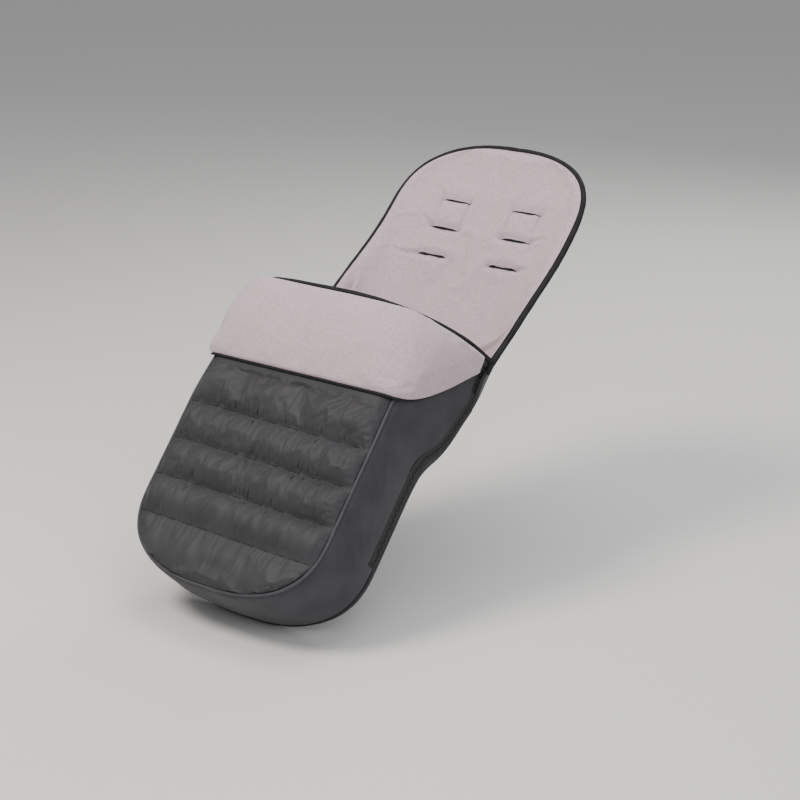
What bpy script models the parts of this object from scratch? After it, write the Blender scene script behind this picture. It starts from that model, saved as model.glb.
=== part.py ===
import math

import bmesh
import bpy
from mathutils import Matrix, Vector

# Stroller footmuff: a padded liner and an apron that zips to it, with a fleece cuff.
# X runs across, Y to the rear, Z up. The origin is under the seat, on the middle line.
# Every size is in metres.

# Side profile of the liner's face
LEG_LENGTH = 0.300
SEAT_LENGTH = 0.178
BACK_LENGTH = 0.479
LEG_SLOPE_DEG = 50.6
BACK_SLOPE_DEG = 51.2
KNEE_RADIUS = 0.050
HIP_RADIUS = 0.110
KNEE_Y = -0.1136

# Liner, from side to side: the hip and the head follow the leg's width
LEG_HALF_WIDTH = 0.184
HIP_WIDTH_SHARE = 1.0
HEAD_WIDTH_SHARE = 0.9674
HIP_HALF_WIDTH = LEG_HALF_WIDTH * HIP_WIDTH_SHARE
HEAD_HALF_WIDTH = LEG_HALF_WIDTH * HEAD_WIDTH_SHARE
HEAD_CAP_LENGTH = 0.130
TOE_CAP_LENGTH = 0.120
WING_HEIGHT = 0.0865

# Liner layers
FLEECE_THICKNESS = 0.0030
WADDING_THICKNESS = 0.0085
SHELL_THICKNESS = 0.0018
LAYER_GAP = 0.0003

# Boot
BOOT_DEPTH = 0.118
FRONT_LENGTH = 0.488
CUFF_LENGTH = 0.140
WALL_GAP = 0.0004
GUSSET_SHELL_THICKNESS = 0.0014
GUSSET_LINING_THICKNESS = 0.0024

# Quilted panel
CHANNEL_CROWN = 0.010
PANEL_SHELL_THICKNESS = 0.0014
PANEL_WADDING_THICKNESS = 0.0050
PANEL_LINING_THICKNESS = 0.0024
LOWEST_STITCH = 0.082
CHANNEL_PITCH = 0.0625

# Trim
PIPING_RADIUS = 0.0024
BINDING_RADIUS = 0.0042
TAPE_WIDTH = 0.0085
TAPE_THICKNESS = 0.0008
TEETH_WIDTH = 0.0052
TOOTH_PITCH = 0.0105
STOP_THICKNESS = 0.0024
TRIM_GAP = 0.0004

# Cuff
CUFF_CLEARANCE = 0.0014
CUFF_BACKING_THICKNESS = 0.0014
CUFF_FLEECE_THICKNESS = 0.0060
CUFF_PUFF = 0.0060
CUFF_EDGE_RADIUS = 0.0030

# Harness slits, cut straight through from front to back
SLIT_LENGTH = 0.055
SLIT_OPENING = 0.0070
CROTCH_OPENING = 0.0100
SLIT_HALF_SPACING = 0.072
SLIT_BINDING = 0.0030
CROTCH_SLIT_LENGTH = 0.040
CUT_OVERRUN = 0.030

# Zip slider and pull
SLIDER_LENGTH = 0.013
SLIDER_WIDTH = 0.0095
SLIDER_THICKNESS = 0.0022
PULL_LENGTH = 0.030
PULL_WIDTH = 0.0060
PULL_THICKNESS = 0.0016
STOP_LENGTH = 0.0045
CROWN_INSET = 0.0028
CROWN_HEIGHT = 0.0024

# Grip patch and trim places
PATCH_THICKNESS = 0.0010
EDGE_INSET = PIPING_RADIUS + 3 * TRIM_GAP
ZIP_END = TOE_CAP_LENGTH
TEETH_START = 0.0030
GUSSET_START = TEETH_START + TEETH_WIDTH + 2 * TRIM_GAP + TAPE_WIDTH

# Places along the profile, as shares
LOW_SLIT_SHARE = 0.560
MID_SLIT_SHARE = 0.666
TOP_SLIT_SHARE = 0.775
CROTCH_SLIT_SHARE = 0.300
ZIP_TOP_SHARE = 0.157
CAP_POWER = 2.5
SIDES = ((-1, "left"), (1, "right"))
BOXY_POWER = 26.0
RIGHT_ARCH_POWER = 2.3
LEFT_ARCH_POWER = 5.0

# Height of the rim over the face, as shares of WING_HEIGHT
SEAT_WING_SHARES = ((0.0, 0.0), (0.23, 0.0), (0.37, 0.15), (0.50, 0.33), (0.64, 0.58), (0.75, 0.75), (1.0, 0.95))
BACK_WING_SHARES = ((0.0, 0.95), (0.157, 1.0), (0.25, 0.80), (0.37, 0.65), (0.47, 0.49), (0.59, 0.31),
                    (0.67, 0.24), (0.80, 0.19), (0.90, 0.12), (1.0, 0.0))
WING_SMOOTHING = 0.030
WING_START_SHARE = 0.56
WING_CURVE = 1.7

# Shape shares and powers
SMOOTHING_STEPS = 4
CORNER_SHARE = 0.5
ARCH_REACH_SHARE = 1.5
CROWN_POWER = 0.55
CROWN_EDGE_POWER = 6
EDGE_THINNING_SHARE = 0.85
EDGE_THINNING_POWER = 8
CUFF_ENDS_SHARE = 0.08
CUFF_PUFF_POWER = 0.5
ROUNDING_SHARE = 0.25
PULL_ROUNDING_SHARE = 0.45
STITCH_COUNT = 4
TOP_CHANNEL_STEPS = 10

# Roughness of the stand-in materials
SOFT_ROUGHNESS = 0.95
TAPE_ROUGHNESS = 0.75
COATED_ROUGHNESS = 0.35
METAL_SHARE = 0.8


def clear_scene():
    for old in list(bpy.data.objects):
        bpy.data.objects.remove(old, do_unlink=True)


def make_material(name, colour, roughness, metallic=0.0):
    material = bpy.data.materials.new(name)
    material.use_nodes = True
    shader = material.node_tree.nodes["Principled BSDF"]
    shader.inputs["Base Color"].default_value = (*colour, 1.0)
    shader.inputs["Roughness"].default_value = roughness
    shader.inputs["Metallic"].default_value = metallic
    material.diffuse_color = (*colour, 1.0)
    return material


FLEECE_COLOUR = (0.52, 0.45, 0.47)
BLACK_CLOTH_COLOUR = (0.020, 0.020, 0.022)
SHINY_BLACK_COLOUR = (0.060, 0.058, 0.062)
WADDING_COLOUR = (0.75, 0.75, 0.74)
TRIM_BLACK_COLOUR = (0.012, 0.012, 0.014)
ZIP_BLACK_COLOUR = (0.030, 0.030, 0.032)


def read_table(table, share):
    """Value at a share in a table of (place share, value share) rows, straight between rows."""
    if share <= table[0][0]:
        return table[0][1]
    for (low, low_value), (high, high_value) in zip(table, table[1:]):
        if share <= high:
            part = (share - low) / (high - low)
            return low_value + (high_value - low_value) * part
    return table[-1][1]


# The side profile is walked from the toe end: leg, knee bend, seat, hip bend, back.
LEG_SLOPE = math.radians(LEG_SLOPE_DEG)
BACK_SLOPE = math.radians(BACK_SLOPE_DEG)
KNEE_TANGENT = KNEE_RADIUS * math.tan(LEG_SLOPE / 2)
HIP_TANGENT = HIP_RADIUS * math.tan(BACK_SLOPE / 2)
KNEE_ARC = KNEE_RADIUS * LEG_SLOPE
HIP_ARC = HIP_RADIUS * BACK_SLOPE
LINER_THICKNESS = FLEECE_THICKNESS + WADDING_THICKNESS + SHELL_THICKNESS + 2 * LAYER_GAP
KNEE_START = LEG_LENGTH - KNEE_TANGENT
KNEE_END = KNEE_START + KNEE_ARC
HIP_START = KNEE_END + SEAT_LENGTH - KNEE_TANGENT - HIP_TANGENT
HIP_END = HIP_START + HIP_ARC
HEAD_END = HIP_END + BACK_LENGTH - HIP_TANGENT
KNEE_MIDDLE = KNEE_START + KNEE_ARC / 2
HIP_MIDDLE = HIP_START + HIP_ARC / 2
TOE_Y = KNEE_Y - LEG_LENGTH * math.cos(LEG_SLOPE)
TOE_Z = PATCH_THICKNESS + LAYER_GAP + LINER_THICKNESS - LEG_LENGTH * math.sin(LEG_SLOPE)


def walk(place, heading, length, turn=0.0):
    """Next (y, z) and heading after a straight run or an arc."""
    y, z = place
    if turn == 0.0:
        return (y + length * math.cos(heading), z + length * math.sin(heading)), heading
    radius = length / turn
    y += radius * (math.sin(heading + turn) - math.sin(heading))
    z += radius * (math.cos(heading) - math.cos(heading + turn))
    return (y, z), heading + turn


def profile(run):
    """Point and heading of the liner's face at a distance from the toe end."""
    place, heading = (TOE_Y, TOE_Z), LEG_SLOPE
    legs = ((0.0, KNEE_START, 0.0), (KNEE_START, KNEE_END, -LEG_SLOPE), (KNEE_END, HIP_START, 0.0),
            (HIP_START, HIP_END, BACK_SLOPE), (HIP_END, HEAD_END, 0.0))
    for start, end, turn in legs:
        if run <= end or end == HEAD_END:
            part = run - start
            share = part / (end - start)
            return walk(place, heading, part, turn * share)
        place, heading = walk(place, heading, end - start, turn)
    return place, heading


def back_run(share):
    return HIP_MIDDLE + (HEAD_END - HIP_MIDDLE) * share


def seat_run(share):
    return KNEE_MIDDLE + (HIP_MIDDLE - KNEE_MIDDLE) * share


def wing(run):
    """How far the liner's side edge stands over its face."""
    if run <= HIP_MIDDLE:
        share = (run - KNEE_MIDDLE) / (HIP_MIDDLE - KNEE_MIDDLE)
        return WING_HEIGHT * read_table(SEAT_WING_SHARES, share)
    share = (run - HIP_MIDDLE) / (HEAD_END - HIP_MIDDLE)
    return WING_HEIGHT * read_table(BACK_WING_SHARES, share)


def smooth_wing(run):
    steps = range(-SMOOTHING_STEPS, SMOOTHING_STEPS + 1)
    places = [run + WING_SMOOTHING * step / SMOOTHING_STEPS for step in steps]
    return sum(wing(place) for place in places) / len(places)


def cap_share(distance, length):
    """Half width of a rounded end, as a share, at a distance from its tip."""
    if distance >= length:
        return 1.0
    rest = max(0.0, (length - distance) / length)
    return (1.0 - rest ** CAP_POWER) ** (1.0 / CAP_POWER)


def liner_half_width(run):
    if run < KNEE_MIDDLE:
        return LEG_HALF_WIDTH * cap_share(run, TOE_CAP_LENGTH)
    if run < HIP_END:
        share = (run - KNEE_MIDDLE) / (HIP_END - KNEE_MIDDLE)
        return LEG_HALF_WIDTH + (HIP_HALF_WIDTH - LEG_HALF_WIDTH) * share
    share = (run - HIP_END) / (HEAD_END - HIP_END)
    half = HIP_HALF_WIDTH + (HEAD_HALF_WIDTH - HIP_HALF_WIDTH) * share
    return half * cap_share(HEAD_END - run, HEAD_CAP_LENGTH)


def liner_point(run, across, depth=0.0):
    """Point of the liner: across runs from -1 to 1, depth goes back from the face."""
    (y, z), heading = profile(run)
    lift_share = max(0.0, (abs(across) - WING_START_SHARE) / (1.0 - WING_START_SHARE)) ** WING_CURVE
    lift = smooth_wing(run) * lift_share - depth
    return Vector((across * liner_half_width(run), y - math.sin(heading) * lift, z + math.cos(heading) * lift))


def cap_runs(length, count, power):
    """Distances from a rounded tip, closer together towards the tip."""
    runs = []
    for step in range(1, count + 1):
        angle = math.pi / 2 * step / count
        runs.append(length * (1.0 - math.cos(angle) ** (2.0 / power)))
    return runs


def spread(start, end, count):
    return [start + (end - start) * step / count for step in range(count + 1)]


TOE_STEPS = 6
HEAD_STEPS = 6
LINER_COLUMNS = 12


def liner_runs():
    toe = cap_runs(TOE_CAP_LENGTH, TOE_STEPS, CAP_POWER)
    head = [HEAD_END - run for run in cap_runs(HEAD_CAP_LENGTH, HEAD_STEPS, CAP_POWER)]
    middle = spread(TOE_CAP_LENGTH, KNEE_START, 2)[1:] + spread(KNEE_START, KNEE_END, 3)[1:]
    middle += spread(KNEE_END, HIP_START, 4)[1:] + spread(HIP_START, HIP_END, 4)[1:]
    middle += spread(HIP_END, head[-1], 6)[1:-1]
    return toe + middle + head[::-1]


def sheet_from_grid(name, layers, material):
    """Closed sheet: rows of points for its two faces, joined round the edge."""
    mesh = bpy.data.meshes.new(name)
    shape = bmesh.new()
    faces = []
    for layer in layers:
        faces.append([[shape.verts.new(point) for point in row] for row in layer])
    top, bottom = faces
    row_count, column_count = len(top), len(top[0])
    for row in range(row_count - 1):
        for column in range(column_count - 1):
            a, b, c, d = (row, column), (row, column + 1), (row + 1, column + 1), (row + 1, column)
            for corners in ((a, b, c), (a, c, d)):
                shape.faces.new([top[r][c] for r, c in corners])
                shape.faces.new([bottom[r][c] for r, c in reversed(corners)])
    edge = [(0, c) for c in range(column_count)] + [(r, column_count - 1) for r in range(1, row_count)]
    edge += [(row_count - 1, c) for c in range(column_count - 2, -1, -1)]
    edge += [(r, 0) for r in range(row_count - 2, 0, -1)]
    for (r0, c0), (r1, c1) in zip(edge, edge[1:] + edge[:1]):
        shape.faces.new([top[r1][c1], top[r0][c0], bottom[r0][c0], bottom[r1][c1]])
    bmesh.ops.recalc_face_normals(shape, faces=shape.faces)
    shape.to_mesh(mesh)
    shape.free()
    return add_object(name, mesh, material)


def add_object(name, mesh, material, smooth_angle=math.radians(50)):
    piece = bpy.data.objects.new(name, mesh)
    bpy.context.scene.collection.objects.link(piece)
    mesh.materials.append(material)
    mesh.shade_smooth()
    mesh.set_sharp_from_angle(angle=smooth_angle)
    return piece


def liner_layer(name, near, far, material):
    runs = liner_runs()
    across = spread(-1.0, 1.0, LINER_COLUMNS)
    layers = [[[liner_point(run, share, depth) for share in across] for run in runs] for depth in (near, far)]
    return sheet_from_grid(name, layers, material)


# Boot: its front plane is parallel to the leg's face, its side wall rises from the liner's rim.
ZIP_TOP_RUN = back_run(ZIP_TOP_SHARE)
WALL_OFFSET = WALL_GAP + GUSSET_LINING_THICKNESS + LAYER_GAP
BOOT_KNEE = KNEE_START


def rim_run(distance):
    """Liner run that faces a distance along the front plane from the toe end."""
    if distance <= BOOT_KNEE:
        return distance
    share = (distance - BOOT_KNEE) / (FRONT_LENGTH - BOOT_KNEE)
    return BOOT_KNEE + (ZIP_TOP_RUN - BOOT_KNEE) * share


def boot_ends(distance):
    """Rim point and front point, as (y, z), of the boot's cross-section."""
    run = rim_run(distance)
    (y, z), heading = profile(run)
    lift = smooth_wing(run)
    rim = (y - math.sin(heading) * lift, z + math.cos(heading) * lift)
    front = (TOE_Y + distance * math.cos(LEG_SLOPE) - BOOT_DEPTH * math.sin(LEG_SLOPE),
             TOE_Z + distance * math.sin(LEG_SLOPE) + BOOT_DEPTH * math.cos(LEG_SLOPE))
    return rim, front


def arch_power(distance, side):
    """The boot's cross-section is boxy low down and arched at its mouth, more so on the right."""
    start = FRONT_LENGTH - ARCH_REACH_SHARE * CUFF_LENGTH
    share = min(1.0, max(0.0, (distance - start) / (FRONT_LENGTH - start)))
    mouth = RIGHT_ARCH_POWER if side >= 0.0 else LEFT_ARCH_POWER
    return math.exp(math.log(BOXY_POWER) + (math.log(mouth) - math.log(BOXY_POWER)) * share)


def wall_half_width(distance):
    return liner_half_width(rim_run(distance)) + WALL_OFFSET


def boot_point(distance, x, depth_share):
    """Point of the boot's outer skin: depth_share goes from the rim (0) to the front (1)."""
    rim, front = boot_ends(distance)
    y = rim[0] + (front[0] - rim[0]) * depth_share
    z = rim[1] + (front[1] - rim[1]) * depth_share
    return Vector((x, y, z))


def drawn_in(distance, scale):
    """The toe cap's outline shrinks towards the cap's centre where the skin turns inwards."""
    if distance >= TOE_CAP_LENGTH:
        return distance
    return TOE_CAP_LENGTH - (TOE_CAP_LENGTH - distance) * (scale + WALL_OFFSET / TOE_CAP_LENGTH)


def boot_depth(distance):
    rim, front = boot_ends(distance)
    return math.hypot(front[0] - rim[0], front[1] - rim[1])


def panel_edge_share(distance, side):
    return CORNER_SHARE ** (1.0 / arch_power(distance, side))


def panel_point(distance, across, lift=0.0):
    """Point of the front panel, lift standing out along the boot's depth."""
    power = arch_power(distance, across)
    edge = panel_edge_share(distance, across)
    share = across * (edge - EDGE_INSET / LEG_HALF_WIDTH)
    depth_share = (1.0 - min(1.0, abs(share)) ** power) ** (1.0 / power)
    x = share * wall_half_width(distance)
    toe_edge = edge - EDGE_INSET / TOE_CAP_LENGTH
    return boot_point(drawn_in(distance, toe_edge), x, depth_share + lift / boot_depth(distance))


def stitch_places():
    return [LOWEST_STITCH + CHANNEL_PITCH * count for count in range(STITCH_COUNT)]


def panel_rows():
    """Distances up the panel, closest together at the stitches."""
    rows = cap_runs(TOE_CAP_LENGTH, TOE_STEPS, CAP_POWER)
    limits = [TOE_CAP_LENGTH] + [place for place in stitch_places() if place > TOE_CAP_LENGTH]
    for low, high in zip(limits, limits[1:]):
        rows += spread(low, high, 4)[1:]
    rows += spread(limits[-1], FRONT_LENGTH, TOP_CHANNEL_STEPS)[1:]
    kept = [row for row in rows if abs(row - LOWEST_STITCH) > CHANNEL_PITCH / 6]
    return sorted(kept + [LOWEST_STITCH])


def channel_crown(distance, across):
    """Height of the padded channel over the seam plane; under the cuff it is half as high."""
    covered = FRONT_LENGTH - CUFF_LENGTH - 4 * CUFF_EDGE_RADIUS
    stitches = [0.0] + stitch_places() + [covered]
    crown = CHANNEL_CROWN / 2
    for low, high in zip(stitches, stitches[1:]):
        if low <= distance <= high:
            crown = CHANNEL_CROWN * math.sin(math.pi * (distance - low) / (high - low)) ** CROWN_POWER
    if distance > (stitches[-2] + covered) / 2:
        crown = max(crown, CHANNEL_CROWN / 2)
    return crown * (1.0 - abs(across) ** CROWN_EDGE_POWER)


PANEL_COLUMNS = 12


def panel_layer(name, outer, inner, material):
    """Layer of the front panel between two functions of (distance, across)."""
    rows = panel_rows()
    across = spread(-1.0, 1.0, PANEL_COLUMNS)
    layers = []
    for lift in (outer, inner):
        layers.append([[panel_point(row, share, lift(row, share)) for share in across] for row in rows])
    return sheet_from_grid(name, layers, material)


GUSSET_STEPS = 4
CORD_RESOLUTION = 1


def side_places():
    """Distances down one side of the boot, from its mouth to the foot of the zip."""
    zip_foot = ZIP_END + STOP_LENGTH / 2
    return spread(FRONT_LENGTH, BOOT_KNEE, 9) + spread(BOOT_KNEE, zip_foot, 3)[1:]


def boot_path():
    """Distances and signed sides round the boot's U, from the right mouth corner to the left one."""
    side = side_places() + cap_runs(TOE_CAP_LENGTH, TOE_STEPS + 3, CAP_POWER)[::-1]
    path = [(distance, 1.0) for distance in side]
    toe = side[-1]
    path += [(toe, share) for share in spread(1.0, -1.0, 4)[1:-1]]
    path += [(distance, -1.0) for distance in reversed(side)]
    return path


def wall_point(place, width):
    """Point of the side wall, width going forward from the rim."""
    distance, side = place
    share = width / boot_depth(distance)
    power = arch_power(distance, side)
    scale = (1.0 - min(1.0, max(0.0, share)) ** power) ** (1.0 / power)
    x = side * scale * wall_half_width(distance)
    return boot_point(drawn_in(distance, scale), x, share)


def wall_normal(path, index):
    """Direction out of the side wall in the plane of the U."""
    before = wall_point(path[max(0, index - 1)], 0.0)
    after = wall_point(path[min(len(path) - 1, index + 1)], 0.0)
    rim, front = boot_ends(path[index][0])
    deep = Vector((0.0, front[0] - rim[0], front[1] - rim[1])).normalized()
    return deep.cross(after - before).normalized()


def panel_edge_width(distance, side):
    return boot_depth(distance) * panel_edge_share(distance, side)


def wall_layer(name, near, far, start, end, material):
    """Strip of the side wall between two widths, from near to far off the wall."""
    path = boot_path()
    layers = []
    for off in (far, near):
        rows = []
        for index, place in enumerate(path):
            normal = wall_normal(path, index)
            row = []
            low, high = start(place), end(place)
            for width in spread(low, high, GUSSET_STEPS):
                row.append(wall_point(place, width) + normal * off)
            rows.append(row)
        layers.append(rows)
    return sheet_from_grid(name, layers, material)


def cord(name, points, radius, material):
    """Round cord along points, with filled ends."""
    curve = bpy.data.curves.new(name, "CURVE")
    curve.dimensions = "3D"
    curve.bevel_depth = radius
    curve.bevel_resolution = CORD_RESOLUTION
    curve.use_fill_caps = True
    spline = curve.splines.new("POLY")
    spline.points.add(len(points) - 1)
    for target, point in zip(spline.points, points):
        target.co = (*point, 1.0)
    piece = bpy.data.objects.new(name, curve)
    bpy.context.scene.collection.objects.link(piece)
    curve.materials.append(material)
    return piece


def crest_line():
    """Points along the boot's mouth, from the right corner over the arch to the left one."""
    distance = FRONT_LENGTH + BINDING_RADIUS + TRIM_GAP
    flanks = []
    for side in (1.0, -1.0):
        edge = panel_edge_width(distance, side)
        flanks.append([wall_point((distance, side), width) for width in spread(GUSSET_START, edge, 5)])
    front = [panel_point(distance, share) for share in spread(1.0, -1.0, 10)[1:-1]]
    return flanks[0] + front + flanks[1][::-1]


def make_liner():
    edges = [0.0]
    for thickness in (FLEECE_THICKNESS, WADDING_THICKNESS, SHELL_THICKNESS):
        edges.append(edges[-1] + thickness + LAYER_GAP)
    names = ("fleece_facing", "liner_wadding", "back_shell")
    colours = (FLEECE_COLOUR, WADDING_COLOUR, BLACK_CLOTH_COLOUR)
    layers = []
    for index, (name, colour) in enumerate(zip(names, colours)):
        near, far = edges[index], edges[index + 1] - LAYER_GAP
        layers.append(liner_layer(name, near, far, make_material(name, colour, SOFT_ROUGHNESS)))
    cutter = slit_cutter()
    for layer in layers:
        cut = layer.modifiers.new("slits", "BOOLEAN")
        cut.operation = "DIFFERENCE"
        cut.object = cutter
    make_slit_bindings()
    make_stitching()
    make_rim_binding()
    make_underside()


def slit_places():
    """Centre of each harness slit on the liner's face."""
    places = []
    for share in (LOW_SLIT_SHARE, MID_SLIT_SHARE, TOP_SLIT_SHARE):
        (y, z), heading = profile(back_run(share))
        places += [Vector((side * SLIT_HALF_SPACING, y, z)) for side in (-1, 1)]
    return places


def crotch_place():
    (y, z), heading = profile(seat_run(CROTCH_SLIT_SHARE))
    return Vector((0.0, y, z))


def add_block(shape, low, high):
    """Box between two corners."""
    made = bmesh.ops.create_cube(shape, size=1.0)["verts"]
    size = high - low
    bmesh.ops.scale(shape, verts=made, vec=size)
    bmesh.ops.translate(shape, verts=made, vec=(low + high) / 2)
    return made


def slit_cutter():
    """All seven slits as one cutter: harness slits run along Y, the crotch slit along Z."""
    shape = bmesh.new()
    wide = SLIT_LENGTH / 2 + SLIT_BINDING
    tall = SLIT_OPENING / 2 + SLIT_BINDING
    for place in slit_places():
        reach = Vector((wide, CUT_OVERRUN, tall))
        add_block(shape, place - reach, place + reach)
    reach = Vector((CROTCH_SLIT_LENGTH / 2 + SLIT_BINDING, CROTCH_OPENING / 2 + SLIT_BINDING, CUT_OVERRUN))
    add_block(shape, crotch_place() - reach, crotch_place() + reach)
    mesh = bpy.data.meshes.new("slit_cutter")
    shape.to_mesh(mesh)
    shape.free()
    cutter = bpy.data.objects.new("slit_cutter", mesh)
    bpy.context.scene.collection.objects.link(cutter)
    cutter.hide_render = True
    cutter.display_type = "WIRE"
    return cutter


BINDING_PROUD = 0.0010


def add_ring(shape, centre, half_long, half_open, front, back, slope, upright):
    """Rectangular binding in a slit, its ends slanted to lie along the liner's two faces."""
    loops = []
    for reach in (0.0, SLIT_BINDING - LAYER_GAP):
        for level in (front, back):
            loop = []
            for sx, sz in ((-1, -1), (1, -1), (1, 1), (-1, 1)):
                x = sx * (half_long + reach)
                open_way = sz * (half_open + reach)
                along = level + open_way * slope
                offset = Vector((x, along, open_way)) if upright else Vector((x, open_way, along))
                loop.append(shape.verts.new(centre + offset))
            loops.append(loop)
    inner_front, inner_back, outer_front, outer_back = loops
    pairs = ((inner_front, outer_front), (outer_front, outer_back),
             (outer_back, inner_back), (inner_back, inner_front))
    for first, second in pairs:
        for index in range(4):
            after = (index + 1) % 4
            shape.faces.new([first[index], first[after], second[after], second[index]])


def make_slit_bindings():
    through = LINER_THICKNESS / math.sin(BACK_SLOPE)
    slope = 1.0 / math.tan(BACK_SLOPE)
    names = [f"{level}_{side}" for level in ("low", "middle", "top") for side in ("left", "right")]
    material = make_material("slit_binding", FLEECE_COLOUR, SOFT_ROUGHNESS)
    for place, name in zip(slit_places(), names):
        shape = bmesh.new()
        add_ring(shape, place, SLIT_LENGTH / 2, SLIT_OPENING / 2, -BINDING_PROUD,
                 through + BINDING_PROUD, slope, True)
        finish_mesh(f"slit_binding_{name}", shape, material)
    shape = bmesh.new()
    add_ring(shape, crotch_place(), CROTCH_SLIT_LENGTH / 2, CROTCH_OPENING / 2,
             -LINER_THICKNESS, BINDING_PROUD, 0.0, False)
    finish_mesh("crotch_slit_binding", shape, material)


STITCH_RADIUS = 0.0007


def facet_point(run, x, depth):
    """Point over the liner's face as it is meshed, flat from column to column."""
    step = 2.0 / LINER_COLUMNS
    share = x / liner_half_width(run)
    low = math.floor(share / step) * step
    return liner_point(run, low, depth).lerp(liner_point(run, low + step, depth), (share - low) / step)


def make_stitching():
    """Stitched lines that join the ends of the top slits to the ends of the middle ones."""
    margin = (SLIT_OPENING / 2 + SLIT_BINDING + STITCH_RADIUS) / math.sin(BACK_SLOPE) + BINDING_RADIUS
    runs = spread(back_run(MID_SLIT_SHARE) + margin, back_run(TOP_SLIT_SHARE) - margin, 3)
    thread = make_material("stitching", FLEECE_COLOUR, SOFT_ROUGHNESS)
    for side, name in SIDES:
        for reach, end in ((-SLIT_LENGTH / 2, "inner"), (SLIT_LENGTH / 2, "outer")):
            x = side * (SLIT_HALF_SPACING + reach)
            points = [facet_point(run, x, -STITCH_RADIUS - 2 * LAYER_GAP) for run in runs]
            cord(f"slit_stitching_{name}_{end}", points, STITCH_RADIUS, thread)


def make_rim_binding():
    """Binding over the liner's edge, from one zip top over the head to the other."""
    start = ZIP_TOP_RUN + STOP_LENGTH
    runs = [run for run in liner_runs() if run > start + 2 * STOP_LENGTH]
    edge = [(start, 1.0)] + [(run, 1.0) for run in runs]
    edge += [(runs[-1], share) for share in spread(1.0, -1.0, 6)[1:-1]]
    edge += [(run, -1.0) for run in reversed(runs)] + [(start, -1.0)]
    points = [liner_point(run, share, LINER_THICKNESS / 2) for run, share in edge]
    placed = []
    for index, (run, share) in enumerate(edge):
        tangent = points[min(len(points) - 1, index + 1)] - points[max(0, index - 1)]
        heading = profile(run)[1]
        face = Vector((0.0, -math.sin(heading), math.cos(heading)))
        out = tangent.cross(face).normalized()
        placed.append(points[index] + out * (BINDING_RADIUS + TRIM_GAP))
    cord("rim_binding", placed, BINDING_RADIUS, make_material("rim_binding", TRIM_BLACK_COLOUR, TAPE_ROUGHNESS))


PATCH_WIDTH_SHARE = 0.50
PATCH_MARGIN = 0.004
BAND_SHARE = 0.44
BAND_WIDTH = 0.040
BAND_THICKNESS = 0.0012
BAND_REACH_SHARE = 0.50


def make_underside():
    """Grip patch under the seat and an elastic band sewn across the back."""
    depth = LINER_THICKNESS + LAYER_GAP
    runs = spread(KNEE_END + PATCH_MARGIN, HIP_START - PATCH_MARGIN, 2)
    across = spread(-PATCH_WIDTH_SHARE, PATCH_WIDTH_SHARE, 2)
    faces = [[[liner_point(run, share, level) for share in across] for run in runs]
             for level in (depth, depth + PATCH_THICKNESS)]
    patch = sheet_from_grid("grip_patch", faces, make_material("grip_patch", TRIM_BLACK_COLOUR, TAPE_ROUGHNESS))
    cut = patch.modifiers.new("slit", "BOOLEAN")
    cut.operation = "DIFFERENCE"
    cut.object = bpy.data.objects["slit_cutter"]
    middle = back_run(BAND_SHARE)
    runs = spread(middle - BAND_WIDTH / 2, middle + BAND_WIDTH / 2, 1)
    across = spread(-BAND_REACH_SHARE, BAND_REACH_SHARE, 2)
    faces = [[[liner_point(run, share, level) for share in across] for run in runs]
             for level in (depth, depth + BAND_THICKNESS)]
    sheet_from_grid("back_elastic", faces, make_material("back_elastic", TRIM_BLACK_COLOUR, TAPE_ROUGHNESS))


def padding_depth(across):
    """Depth of the lining under the seam plane: the padding thins out towards the side seams."""
    padding = PANEL_WADDING_THICKNESS * (1.0 - EDGE_THINNING_SHARE * abs(across) ** EDGE_THINNING_POWER)
    return PANEL_SHELL_THICKNESS + padding + 2 * LAYER_GAP


def make_panel():
    shell = PANEL_SHELL_THICKNESS
    panel_layer("quilted_shell", channel_crown, lambda d, a: channel_crown(d, a) - shell,
                make_material("quilted_shell", SHINY_BLACK_COLOUR, COATED_ROUGHNESS))
    panel_layer("apron_wadding", lambda d, a: channel_crown(d, a) - shell - LAYER_GAP,
                lambda d, a: LAYER_GAP - padding_depth(a), make_material("apron_wadding", WADDING_COLOUR, SOFT_ROUGHNESS))
    panel_layer("apron_lining", lambda d, a: -padding_depth(a),
                lambda d, a: -padding_depth(a) - PANEL_LINING_THICKNESS,
                make_material("apron_lining", FLEECE_COLOUR, SOFT_ROUGHNESS))


def gusset_start(place):
    return GUSSET_START if place[0] > ZIP_END else PIPING_RADIUS + TRIM_GAP


def gusset_end(place):
    return panel_edge_width(*place) - EDGE_INSET


def make_gusset():
    wall_layer("gusset_shell", 0.0, GUSSET_SHELL_THICKNESS, gusset_start, gusset_end,
               make_material("gusset_shell", BLACK_CLOTH_COLOUR, TAPE_ROUGHNESS))
    wall_layer("gusset_lining", -LAYER_GAP - GUSSET_LINING_THICKNESS, -LAYER_GAP, gusset_start, gusset_end,
               make_material("gusset_lining", FLEECE_COLOUR, SOFT_ROUGHNESS))


def make_piping():
    path = boot_path()
    material = make_material("piping", TRIM_BLACK_COLOUR, TAPE_ROUGHNESS)
    points = []
    for index, place in enumerate(path):
        width = panel_edge_width(*place)
        points.append(wall_point(place, width) + wall_normal(path, index) * PIPING_RADIUS / 2)
    cord("front_piping", points, PIPING_RADIUS, material)
    points = [wall_point(place, 0.0) for place in path if place[0] <= ZIP_END]
    cord("toe_piping", points, PIPING_RADIUS, material)
    binding = make_material("mouth_binding", TRIM_BLACK_COLOUR, TAPE_ROUGHNESS)
    cord("mouth_binding", crest_line(), BINDING_RADIUS, binding)


def zip_path(side):
    top = FRONT_LENGTH - STOP_LENGTH
    foot = ZIP_END + STOP_LENGTH
    inner = [distance for distance in side_places() if foot < distance < top]
    return [(distance, side) for distance in [top] + inner + [foot]]


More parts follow.
